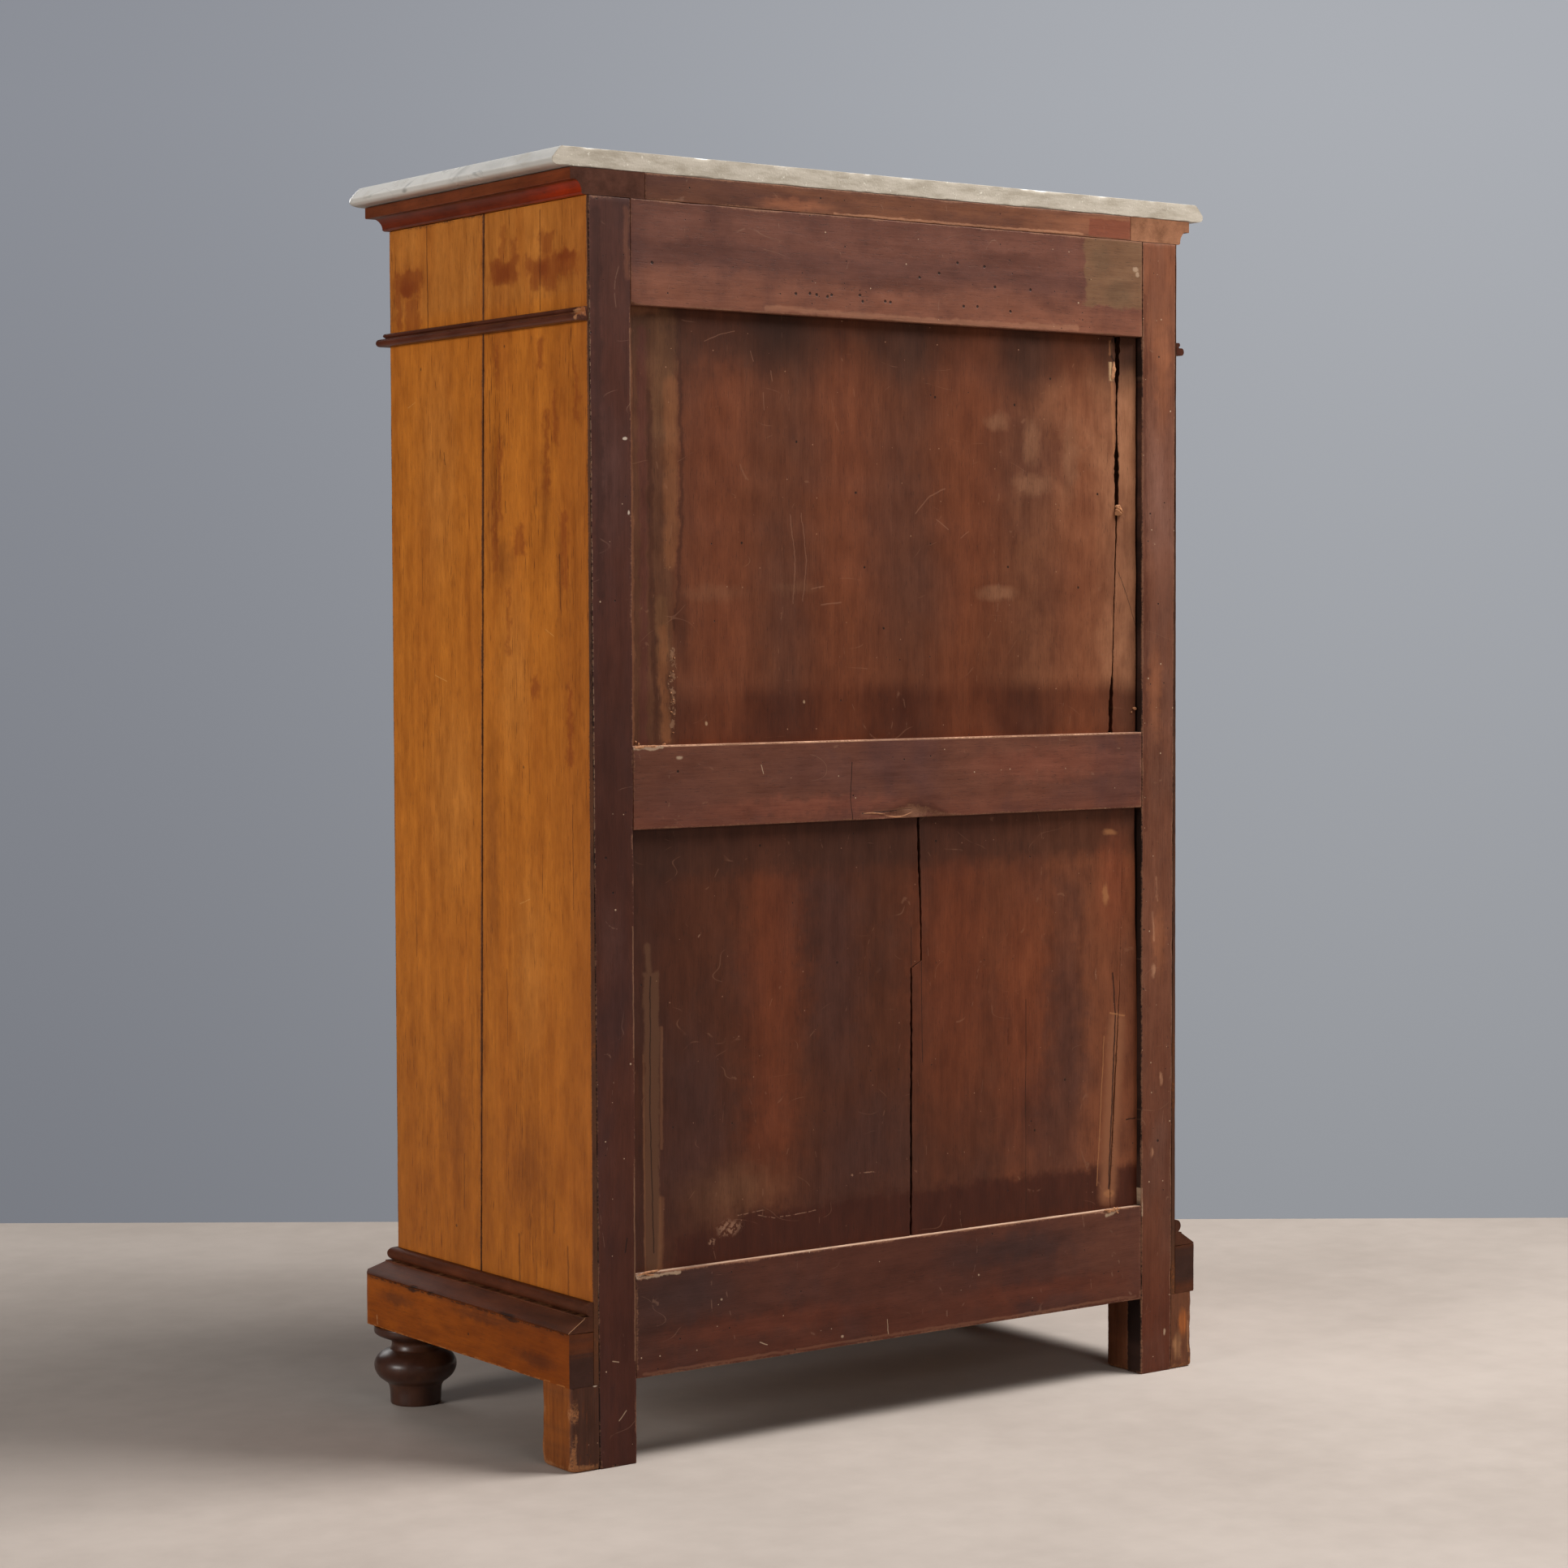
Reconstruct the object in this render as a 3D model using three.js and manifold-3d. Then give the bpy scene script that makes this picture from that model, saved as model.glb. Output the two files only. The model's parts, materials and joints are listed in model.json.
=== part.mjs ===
// Tall chest of five drawers with a marble top, a moulded cornice, a waist
// moulding, a capped plinth, turned front feet and a frame-and-panel back.
// Millimetres. +Z is up, the drawers face -Y and the panelled back faces +Y.
// The origin is on the floor, at the middle of the marble's outline.
import * as THREE from 'three';
import { mergeVertices } from 'three/addons/utils/BufferGeometryUtils.js';
import Module from 'manifold-3d';

const wasm = await Module();
wasm.setup();

// Overall sizes
const totalHeight = 1500;
const bodyWidth = 897;
const bodyDepth = 444;

// Clearances
const seatGap = 0.3; // between faces that rest on or against each other
const mitreGap = 0.4; // along Y, between the two halves of a mitre
const frontGap = 1.2; // round a drawer front in its opening
const knobHoleGap = 0.42; // round a knob's stem
const sideDrop = 2; // drawer sides below the top of their front
const overshoot = 1; // of a cut past the face that it opens

// Marble top
const marbleThickness = 21.7;
const marbleSideOverhang = 45.1;
const marbleFrontOverhang = 40;
const marbleCornerRadius = 30;
const marbleBevelRun = 12.6;
const marbleBevelDrop = 13;
const marbleNose = 3.6;
const marbleUndercut = 8.5;
const marbleUndercutRise = 2.6;

// Cornice
const corniceHeight = 30;
const corniceProjection = 21.5;
const corniceWidth = 100;
const corniceFascia = 11.5;
const corniceStep = 4;
const corniceBead = 4.5;
const corniceFillet = 1.6; // between the bead and the cove
const corniceEase = 2; // below the fascia and over its top arris
const corniceRailWidth = 62;

// Carcass
const sideThickness = 20;
const sideJointTop = 222; // joint of the two side boards, back from the front at the top
const sideJointFoot = 197; // and at the foot
const postSize = 22;
const dividerThickness = 16;
const housingDepth = 6;
const guideHeight = 14;
const bottomThickness = 18;

// Drawers
const friezeHeight = 125;
const bigDrawers = 4;
const drawerGrade = 14; // each opening is this much taller than the one above
const drawerClearance = 14; // behind a shut drawer
const drawerFrontThickness = 22;
const drawerWall = 12;
const drawerBottomThickness = 8;
const drawerBottomRise = 12;
const drawerGroove = 5;
const frontEase = 1.6;
const tailLength = 15;
const tailPitch = 62;
const tailSlope = 3;
const tailMargin = 6; // above and below a side's tails
const boxBackInset = 2; // drawer back's ends, in from the sides' outer faces
const boxBackDrop = 4; // drawer back below the sides' top
const keyholeRadius = 3.6;
const keyholeSlot = 9;
const keyholeDrop = 32;

// Knobs
const knobSpread = 262; // from the middle of the drawer
const knobRadius = 17.5;
const knobCollarRadius = 12;
const knobNeckRadius = 8;
const knobStemRadius = 6.5;
const knobProjection = 29;
const knobStem = 20;
const knobHead = 16.2; // length of the head, from its front to the neck
const knobCollar = 3;

// Waist moulding
const waistProjection = 13;
const waistNose = 4; // projection of the half-round nose
const waistBead = 5; // height of the bead above the nose
const waistBeadProjection = 6.5;
const waistGroove = 1.5; // between the nose and the bead
const waistGrooveDepth = 2;

// Plinth and its cap
const footHeight = 98;
const plinthHeight = 62;
const plinthProjection = 32.8;
const plinthCornerRadius = 16;
const capLip = 1.6;
const capSlopeHeight = 17;
const capFillet = 2; // below the torus
const capFilletProjection = 11.5;
const torusProjection = 10;
const torusHeight = 16.5;

// Feet
const bunRadius = 51;
const bunInset = 15; // of the turned foot's axis, in from the body's corner
const footBlockInset = 3; // in from the plinth's face
const footBlockDepth = 65;
const footBlockCorner = 8;

// Frame-and-panel back
const frameThickness = 27;
const stileReach = 58.5; // stile's inner edge, in from the body's side
const stileLipTop = 1.3; // side board's lip outside the stile, at the cornice
const stileLipFoot = 7.5; // and at the floor
const topRailHeight = 120;
const midRailHeight = 96;
const bottomRailHeight = 120.5;
const panelThickness = 8;
const panelRecess = 9;
const panelGroove = 10;
const tenonLength = 24;
const tenonShoulder = 14;
const upperShrink = 3; // panel's free edge, off the left stile
const lowerShrinkTop = 5;
const lowerShrinkFoot = -4; // still in the groove at the foot
const panelJointGap = 2.2;

// Splits in the panels, from the foot up: [distance above the rail, distance
// in from the left stile's edge, width of the split]
const topSplitStations = [[-80, 37, 1.2], [-30, 34, 2.6], [4.85, 33, 4.6]];
const middleSplitStations = [[230, 40, 0.8], [290, 37.5, 5], [352, 38, 6], [372, 37.5, 1]];
const footSplitStations = [[-4.85, 45.5, 6], [50, 44.5, 5.5], [110, 43, 0.8]];
const slantSplitStations = [[26, 46, 0.8], [140, 39, 2.2], [280, 30, 0.8]];

// The lower panel's board joint: [distance above the bottom rail, distance
// right of the middle], with a step part of the way up
const panelJointTop = -32;
const panelJointStep = 332;
const panelJointStations = [[8, -37], [-8, -21.5]];
const panelJointFoot = -20;

// Places that follow from the sizes
const halfWidth = bodyWidth / 2;
const overallDepth = bodyDepth + marbleFrontOverhang;
const backY = overallDepth / 2;
const frontY = backY - bodyDepth;
const marbleBottom = totalHeight - marbleThickness;
const corniceTop = marbleBottom - seatGap;
const corniceBottom = corniceTop - corniceHeight;
const bodyTop = corniceBottom - seatGap;
const plinthTop = footHeight + plinthHeight;
const capBottom = plinthTop + seatGap;
const capTop = capBottom + capSlopeHeight + torusHeight;
const sideInner = halfWidth - sideThickness;
const stileInner = halfWidth - stileReach;
const stileTop = halfWidth - stileLipTop;
const stileFoot = halfWidth - stileLipFoot;
const openingHalf = sideInner - postSize;
const frameFront = backY - frameThickness;
const drawerBack = frameFront - drawerClearance;
const drawerHalf = openingHalf - frontGap;
const frontRear = frontY + drawerFrontThickness;
const grooveBack = backY - panelRecess;
const grooveFront = grooveBack - panelThickness;

// Drawer openings, from the top down: [floor, ceiling]
const openings = [[corniceBottom - friezeHeight, corniceBottom]];
const bigHeight = openings[0][0] - capTop - bigDrawers * dividerThickness;
const gradeSteps = (bigDrawers * (bigDrawers - 1)) / 2;
const firstBig = (bigHeight - drawerGrade * gradeSteps) / bigDrawers;
for (let i = 0; i < bigDrawers; i += 1) {
  const ceiling = openings[i][0] - dividerThickness;
  openings.push([ceiling - firstBig - drawerGrade * i, ceiling]);
}
const waistTop = openings[0][0];
const waistBottom = waistTop - dividerThickness;

// The back's middle rail stands behind the middle one of the dividers
const middleDivider = openings[bigDrawers / 2][0] - dividerThickness / 2;
const midRailBottom = middleDivider - midRailHeight / 2;
const midRailTop = middleDivider + midRailHeight / 2;
const topRailBottom = bodyTop - topRailHeight;
const bottomRailTop = footHeight + bottomRailHeight;

const finishes = {
  marble: { color: 0xbfbdb8, roughness: 0.4, metalness: 0 },
  amber: { color: 0xa8682c, roughness: 0.45, metalness: 0 },
  dark: { color: 0x4a2a22, roughness: 0.4, metalness: 0 },
  back: { color: 0x5c3a2e, roughness: 0.65, metalness: 0 },
  panel: { color: 0x6a402c, roughness: 0.7, metalness: 0 },
  inside: { color: 0xb98d5c, roughness: 0.75, metalness: 0 },
};
const materials = {};
for (const [name, finish] of Object.entries(finishes)) {
  materials[name] = new THREE.MeshStandardMaterial(finish);
}

// Geometry with its shared vertices merged, as a solid that can be cut
function toSolid(geometry) {
  geometry.deleteAttribute('normal');
  geometry.deleteAttribute('uv');
  const merged = mergeVertices(geometry, 1e-4);
  return new wasm.Manifold(new wasm.Mesh({
    numProp: 3,
    vertProperties: new Float32Array(merged.attributes.position.array),
    triVerts: new Uint32Array(merged.index.array),
  }));
}

function toGeometry(solid) {
  const mesh = solid.getMesh();
  const geometry = new THREE.BufferGeometry();
  geometry.setAttribute('position', new THREE.BufferAttribute(mesh.vertProperties, 3));
  geometry.setIndex(new THREE.BufferAttribute(mesh.triVerts, 1));
  return geometry;
}

// The left-hand twin of a right-hand solid
function mirrored(solid) {
  const geometry = toGeometry(solid).scale(-1, 1, 1);
  const index = geometry.index.array;
  for (let i = 0; i < index.length; i += 3) {
    [index[i], index[i + 1]] = [index[i + 1], index[i]];
  }
  return toSolid(geometry);
}

function block(x0, x1, y0, y1, z0, z1) {
  const geometry = new THREE.BoxGeometry(x1 - x0, y1 - y0, z1 - z0);
  geometry.translate((x0 + x1) / 2, (y0 + y1) / 2, (z0 + z1) / 2);
  return toSolid(geometry);
}

// A flat outline carried along an axis: the outline's two numbers lie along
// the axes named in the function, and the run goes from one place to another
function extrude(points, from, to, across, up, along) {
  const shape = new THREE.Shape(points.map(([u, v]) => new THREE.Vector2(u, v)));
  const geometry = new THREE.ExtrudeGeometry(shape, { depth: to - from, bevelEnabled: false });
  geometry.translate(0, 0, from);
  geometry.applyMatrix4(new THREE.Matrix4().makeBasis(across, up, along));
  return toSolid(geometry);
}

const axisX = new THREE.Vector3(1, 0, 0);
const axisY = new THREE.Vector3(0, 1, 0);
const axisZ = new THREE.Vector3(0, 0, 1);

function planPrism(points, from, to) {
  return extrude(points, from, to, axisX, axisY, axisZ);
}

function alongX(pointsYZ, from, to) {
  return extrude(pointsYZ, from, to, axisY, axisZ, axisX);
}

function alongY(pointsXZ, from, to) {
  return extrude(pointsXZ, -to, -from, axisX, axisZ, axisY.clone().negate());
}

// Rings of equally many points joined into a closed skin, with flat ends
function loft(rings) {
  const count = rings[0].length;
  const positions = rings.flat(2);
  const index = [];
  for (let r = 0; r < rings.length - 1; r += 1) {
    for (let i = 0; i < count; i += 1) {
      const a = r * count + i;
      const b = r * count + ((i + 1) % count);
      index.push(a, b, b + count, a, b + count, a + count);
    }
  }
  const last = (rings.length - 1) * count;
  for (let i = 1; i < count - 1; i += 1) {
    index.push(0, i + 1, i);
    index.push(last, last + i, last + i + 1);
  }
  const geometry = new THREE.BufferGeometry();
  geometry.setAttribute('position', new THREE.Float32BufferAttribute(positions, 3));
  geometry.setIndex(index);
  return toSolid(geometry);
}

// Points on an arc about a centre, both ends included; angles in degrees
function arc(cx, cy, rx, ry, startAngle, endAngle, steps) {
  const points = [];
  for (let i = 0; i <= steps; i += 1) {
    const angle = THREE.MathUtils.degToRad(startAngle + ((endAngle - startAngle) * i) / steps);
    points.push([cx + rx * Math.cos(angle), cy + ry * Math.sin(angle)]);
  }
  return points;
}

// Plan outline with square rear corners and rounded front ones
function roundedPlan(half, front, back, radius, steps) {
  return [
    [-half, back],
    ...arc(-half + radius, front + radius, radius, radius, 180, 270, steps),
    ...arc(half - radius, front + radius, radius, radius, 270, 360, steps),
    [half, back],
  ];
}

// Turned work: radii and heights from the foot up, about the Z axis
function turned(profile, segments) {
  const points = profile.map(([radius, height]) => new THREE.Vector2(radius, height));
  const geometry = new THREE.LatheGeometry(points, segments);
  geometry.rotateX(Math.PI / 2);
  return toSolid(geometry);
}

const group = new THREE.Group();

function add(name, solid, finish) {
  const mesh = new THREE.Mesh(toGeometry(solid), materials[finish]);
  mesh.name = name;
  group.add(mesh);
}

function addPair(name, solid, finish) {
  add(`${name}_right`, solid, finish);
  add(`${name}_left`, mirrored(solid), finish);
}

// A moulding that goes round the front and both sides. Its profile is given
// as [distance out from the body, height]; the corners are mitred.
function addMoulding(name, profile, inner, outer, finish, trim) {
  const reach = halfWidth + outer;
  const sideProfile = profile.map(([out, z]) => [halfWidth + out, z]);
  const sidePlan = planPrism([
    [halfWidth + inner, frontY - inner + mitreGap],
    [reach, frontY - outer + mitreGap],
    [reach, backY],
    [halfWidth + inner, backY],
  ], 0, totalHeight);
  const frontProfile = profile.map(([out, z]) => [frontY - out, z]);
  const frontPlan = planPrism([
    [-halfWidth - inner, frontY - inner],
    [-reach, frontY - outer],
    [reach, frontY - outer],
    [halfWidth + inner, frontY - inner],
  ], 0, totalHeight);
  let side = alongY(sideProfile, frontY - outer, backY).intersect(sidePlan);
  let front = alongX(frontProfile, -reach, reach).intersect(frontPlan);
  if (trim) {
    side = side.intersect(trim);
    front = front.intersect(trim);
  }
  add(`${name}_front`, front, finish);
  addPair(name, side, finish);
}

function marbleTop() {
  const half = halfWidth + marbleSideOverhang;
  const front = frontY - marbleFrontOverhang;
  const noseTop = totalHeight - marbleBevelDrop;
  // [inset from the widest outline, height], from the underside up
  const edge = [
    [marbleUndercut, marbleBottom],
    [marbleUndercut * 0.45, marbleBottom + marbleUndercutRise * 0.4],
    [marbleUndercut * 0.12, marbleBottom + marbleUndercutRise],
    [0, noseTop - marbleNose],
    [0, noseTop - marbleNose * 0.35],
    [marbleBevelRun * 0.1, noseTop + marbleBevelDrop * 0.06],
    [marbleBevelRun * 0.55, noseTop + marbleBevelDrop * 0.6],
    [marbleBevelRun, totalHeight],
  ];
  return loft(edge.map(([inset, z]) => (
    roundedPlan(half - inset, front + inset, backY, marbleCornerRadius - inset, 8)
      .map(([x, y]) => [x, y, z])
  )));
}

function corniceProfile() {
  const fasciaFoot = corniceTop - corniceFascia - corniceEase;
  const coveOut = corniceProjection - corniceStep;
  const coveIn = corniceBead + corniceFillet;
  const coveFoot = corniceBottom + corniceFillet;
  return [
    [corniceProjection - corniceWidth, corniceBottom],
    [corniceBead, corniceBottom],
    [coveIn, coveFoot],
    ...arc(coveOut, coveFoot, coveOut - coveIn, fasciaFoot - coveFoot, 170, 90, 5),
    [corniceProjection, fasciaFoot],
    [corniceProjection, corniceTop - corniceEase],
    [corniceProjection - corniceEase, corniceTop],
    [corniceProjection - corniceWidth, corniceTop],
  ];
}

// A half-round nose, a groove, and a small bead against the body
function waistProfile() {
  const beadRound = waistBead / 2;
  const noseTop = waistTop - waistBead - waistGroove;
  const grooveReach = waistBeadProjection - waistGrooveDepth;
  return [
    [seatGap, waistBottom],
    [waistBeadProjection, waistBottom],
    ...arc(
      waistProjection - waistNose, (waistBottom + noseTop) / 2,
      waistNose, (noseTop - waistBottom) / 2, -90, 90, 6,
    ),
    [grooveReach, noseTop],
    [grooveReach, noseTop + waistGroove],
    ...arc(
      waistBeadProjection - beadRound, waistTop - beadRound,
      beadRound, beadRound, -90, 90, 5,
    ),
    [seatGap, waistTop],
  ];
}

function plinthProfile() {
  return [
    [seatGap, footHeight],
    [plinthProjection, footHeight],
    [plinthProjection, plinthTop],
    [seatGap, plinthTop],
  ];
}

// Sloped weathering, a small fillet, and a torus against the body
function capProfile() {
  const filletTop = capBottom + capSlopeHeight;
  const torusMiddle = filletTop + torusHeight / 2;
  const torusRound = torusHeight / 2;
  return [
    [seatGap, capBottom],
    [plinthProjection, capBottom],
    [plinthProjection, capBottom + capLip],
    [capFilletProjection, filletTop - capFillet],
    [capFilletProjection, filletTop],
    ...arc(torusProjection - torusRound, torusMiddle, torusRound, torusRound, -80, 90, 8),
    [seatGap, capTop],
  ];
}

// The rear stile: its outer edge leans out a little towards the top
function stileOutline(grow) {
  return [
    [stileInner - grow, -grow],
    [stileFoot + grow, -grow],
    [stileTop + grow, bodyTop + grow],
    [stileInner - grow, bodyTop + grow],
  ];
}

// Housings for the dividers and the bottom, in both side boards of one side
function sideHousings(y0, y1) {
  let cuts = block(
    sideInner - overshoot, sideInner + housingDepth, y0, y1,
    capTop - bottomThickness - seatGap, capTop + seatGap,
  );
  for (const [, ceiling] of openings.slice(1)) {
    cuts = cuts.add(block(
      sideInner - overshoot, sideInner + housingDepth, y0, y1,
      ceiling - seatGap, ceiling + dividerThickness + seatGap,
    ));
  }
  return cuts;
}

function sideBoards() {
  const jointTop = frontY + sideJointTop;
  const jointFoot = frontY + sideJointFoot;
  const half = seatGap / 2;
  const housings = sideHousings(frontY + postSize, frameFront + seatGap);
  const rebate = alongY(stileOutline(seatGap), frameFront - seatGap, backY + overshoot);
  const front = alongX([
    [frontY, footHeight],
    [jointFoot - half, footHeight],
    [jointTop - half, bodyTop],
    [frontY, bodyTop],
  ], sideInner, halfWidth);
  const rear = alongX([
    [jointFoot + half, footHeight],
    [backY, footHeight],
    [backY, bodyTop],
    [jointTop + half, bodyTop],
  ], sideInner, halfWidth);
  addPair('side_front_board', front.subtract(housings), 'amber');
  addPair('side_rear_board', rear.subtract(housings).subtract(rebate), 'amber');
}

// A full-depth board between two drawers, with a strip at each side that
// guides the drawer above it. It is notched round the front posts.
function guideBoard(top, thickness) {
  const reach = sideInner + housingDepth - seatGap;
  const rear = frameFront - seatGap;
  const postBack = frontY + postSize + seatGap;
  const notch = block(
    openingHalf - seatGap, reach + overshoot, frontY - overshoot, postBack,
    top - thickness - overshoot, top + overshoot,
  );
  const guide = block(
    openingHalf, sideInner - seatGap, postBack, rear,
    top - thickness / 2, top + guideHeight,
  );
  return block(-reach, reach, frontY, rear, top - thickness, top)
    .subtract(notch)
    .subtract(mirrored(notch))
    .add(guide)
    .add(mirrored(guide));
}

// Turned front foot: a foot ring, a bun, a neck and a round plate
function bunFoot() {
  const height = footHeight - seatGap;
  const bun = arc(0.42, 0.485, 0.58, 0.205, -58, 64, 8);
  // [share of the greatest radius, share of the height]
  const shares = [
    [0, 0], [0.59, 0], [0.61, 0.03], [0.62, 0.16], [0.65, 0.25],
    ...bun,
    [0.61, 0.7], [0.58, 0.75], [0.575, 0.79], [0.64, 0.83], [0.88, 0.87],
    [0.98, 0.91], [1, 0.94], [1, 1], [0, 1],
  ];
  const profile = shares.map(([radius, rise]) => [radius * bunRadius, rise * height]);
  return turned(profile, 32).translate([halfWidth - bunInset, frontY + bunInset, 0]);
}

// Rear foot: an L-shaped block that wraps the stile's outer edge and front
function rearFootBlock() {
  const outer = halfWidth + plinthProjection - footBlockInset;
  const corner = footBlockCorner;
  return planPrism([
    [stileInner, backY - footBlockDepth],
    [outer - corner / 2, backY - footBlockDepth],
    [outer, backY - footBlockDepth + corner / 2],
    [outer, backY - corner],
    [outer - corner, backY],
    [stileInner, backY],
  ], 0, footHeight - seatGap)
    .subtract(alongY(stileOutline(seatGap), frameFront - seatGap, backY + overshoot))
    .subtract(block(
      0, stileInner + overshoot, frameFront - seatGap, backY + overshoot, -overshoot, footHeight,
    ));
}

function rearStile() {
  const groove = block(
    stileInner - overshoot, stileInner + panelGroove,
    grooveFront - seatGap, grooveBack + seatGap,
    bottomRailTop - tenonShoulder, topRailBottom + tenonShoulder,
  );
  let stile = alongY(stileOutline(0), frameFront, backY).subtract(groove);
  for (const [low, high] of railSpans) {
    stile = stile.subtract(block(
      stileInner - overshoot, stileInner + tenonLength + seatGap,
      grooveFront - seatGap, grooveBack + seatGap,
      low + tenonShoulder - seatGap, high - tenonShoulder + seatGap,
    ));
  }
  return stile;
}

const railSpans = [
  [topRailBottom, bodyTop],
  [midRailBottom, midRailTop],
  [footHeight, bottomRailTop],
];

function backRail(low, high, grooveAbove, grooveBelow) {
  const shoulder = stileInner - seatGap;
  const reach = stileInner + tenonLength;
  const groove = (z0, z1) => block(
    -shoulder - overshoot, shoulder + overshoot,
    grooveFront - seatGap, grooveBack + seatGap, z0, z1,
  );
  let rail = block(-shoulder, shoulder, frameFront, backY, low, high)
    .add(block(-reach, reach, grooveFront, grooveBack, low + tenonShoulder, high - tenonShoulder));
  if (grooveAbove) {
    rail = rail.subtract(groove(high - panelGroove, high + overshoot));
  }
  if (grooveBelow) {
    rail = rail.subtract(groove(low - overshoot, low + panelGroove));
  }
  return rail;
}

// A split in a panel, from its stations and the height that they start from
function split(stations, level) {
  const middle = ([, inset]) => -stileInner + inset;
  const rightEdge = stations.map((s) => [middle(s) + s[2] / 2, level + s[0]]);
  const leftEdge = stations.map((s) => [middle(s) - s[2] / 2, level + s[0]]).reverse();
  return alongY([...rightEdge, ...leftEdge], grooveFront - overshoot, grooveBack + overshoot);
}

const panelReach = panelGroove - seatGap;

// The upper panel has shrunk out of the left stile's groove and is split
// near that edge in three places
function upperPanel() {
  const low = midRailTop - panelReach;
  const high = topRailBottom + panelReach;
  const freeEdge = -stileInner + upperShrink;
  return block(freeEdge, stileInner + panelReach, grooveFront, grooveBack, low, high)
    .subtract(split(topSplitStations, topRailBottom))
    .subtract(split(middleSplitStations, midRailTop))
    .subtract(split(footSplitStations, midRailTop));
}

// The lower panel is two boards. Their joint steps sideways below the middle,
// and the left-hand board has a slanting split and a slanting outer edge.
function lowerPanels() {
  const low = bottomRailTop - panelReach;
  const high = midRailBottom + panelReach;
  const step = bottomRailTop + panelJointStep;
  const joint = (gap) => [
    [panelJointTop + gap, high],
    ...panelJointStations.map(([rise, x]) => [x + gap, step + rise]),
    [panelJointFoot + gap, low],
  ];
  const right = alongY([
    ...joint(panelJointGap / 2),
    [stileInner + panelReach, low],
    [stileInner + panelReach, high],
  ], grooveFront, grooveBack);
  const left = alongY([
    ...joint(-panelJointGap / 2).reverse(),
    [-stileInner + lowerShrinkTop, high],
    [-stileInner + lowerShrinkFoot, low],
  ], grooveFront, grooveBack);
  add('back_panel_lower_right', right, 'panel');
  add(
    'back_panel_lower_left',
    left.subtract(split(slantSplitStations, bottomRailTop)),
    'panel',
  );
}

// Heights of the dovetails' middles, and half their width at the root
function tailPlaces(low, high) {
  const count = Math.max(2, Math.round((high - low) / tailPitch));
  const pitch = (high - low) / count;
  const places = [];
  for (let i = 0; i < count; i += 1) {
    places.push(low + pitch * (i + 0.5));
  }
  return { places, rootHalf: pitch * 0.28 };
}

// One drawer side's tails: narrow at the root, wide at the tip
function tails(low, high, grow) {
  const { places, rootHalf } = tailPlaces(low, high);
  const tip = frontRear - tailLength - grow;
  const cuts = places.map((z) => alongX([
    [frontRear + overshoot / 2, z - rootHalf - grow],
    [tip, z - rootHalf - tailSlope - grow],
    [tip, z + rootHalf + tailSlope + grow],
    [frontRear + overshoot / 2, z + rootHalf + grow],
  ], drawerHalf - drawerWall - grow, drawerHalf + grow));
  return cuts.reduce((whole, cut) => whole.add(cut));
}

function circle(x, z, radius, steps) {
  return arc(x, z, radius, radius, 0, 360, steps).slice(0, -1);
}

function keyhole(z) {
  const slotHalf = keyholeRadius * 0.45;
  const outline = [
    [-slotHalf, z - keyholeRadius - keyholeSlot],
    [slotHalf, z - keyholeRadius - keyholeSlot],
    ...arc(0, z, keyholeRadius, keyholeRadius, -60, 240, 10),
  ];
  return alongY(outline, frontY - overshoot, frontRear + overshoot);
}

function knob(x, z) {
  const stemEnd = frontY + knobStem;
  const collarBack = frontY - seatGap;
  const head = frontY - knobProjection;
  const headBack = head + knobHead;
  // [radius, distance forward of the stem's end]
  const forward = (y) => stemEnd - y;
  const profile = [
    [0, 0],
    [knobStemRadius, 0],
    [knobStemRadius, forward(collarBack)],
    [knobCollarRadius, forward(collarBack)],
    [knobCollarRadius, forward(collarBack - knobCollar)],
    [knobNeckRadius, forward(collarBack - knobCollar * 2)],
    [knobNeckRadius, forward(headBack + knobHead * 0.12)],
    [knobRadius * 0.86, forward(headBack)],
    [knobRadius, forward(headBack - knobHead * 0.25)],
    [knobRadius * 0.91, forward(head + knobHead * 0.37)],
    [knobRadius * 0.62, forward(head + knobHead * 0.1)],
    [0, forward(head)],
  ];
  const points = profile.map(([radius, y]) => new THREE.Vector2(radius, y));
  const geometry = new THREE.LatheGeometry(points, 20);
  geometry.rotateX(Math.PI);
  geometry.translate(x, stemEnd, z);
  return toSolid(geometry);
}

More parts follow.
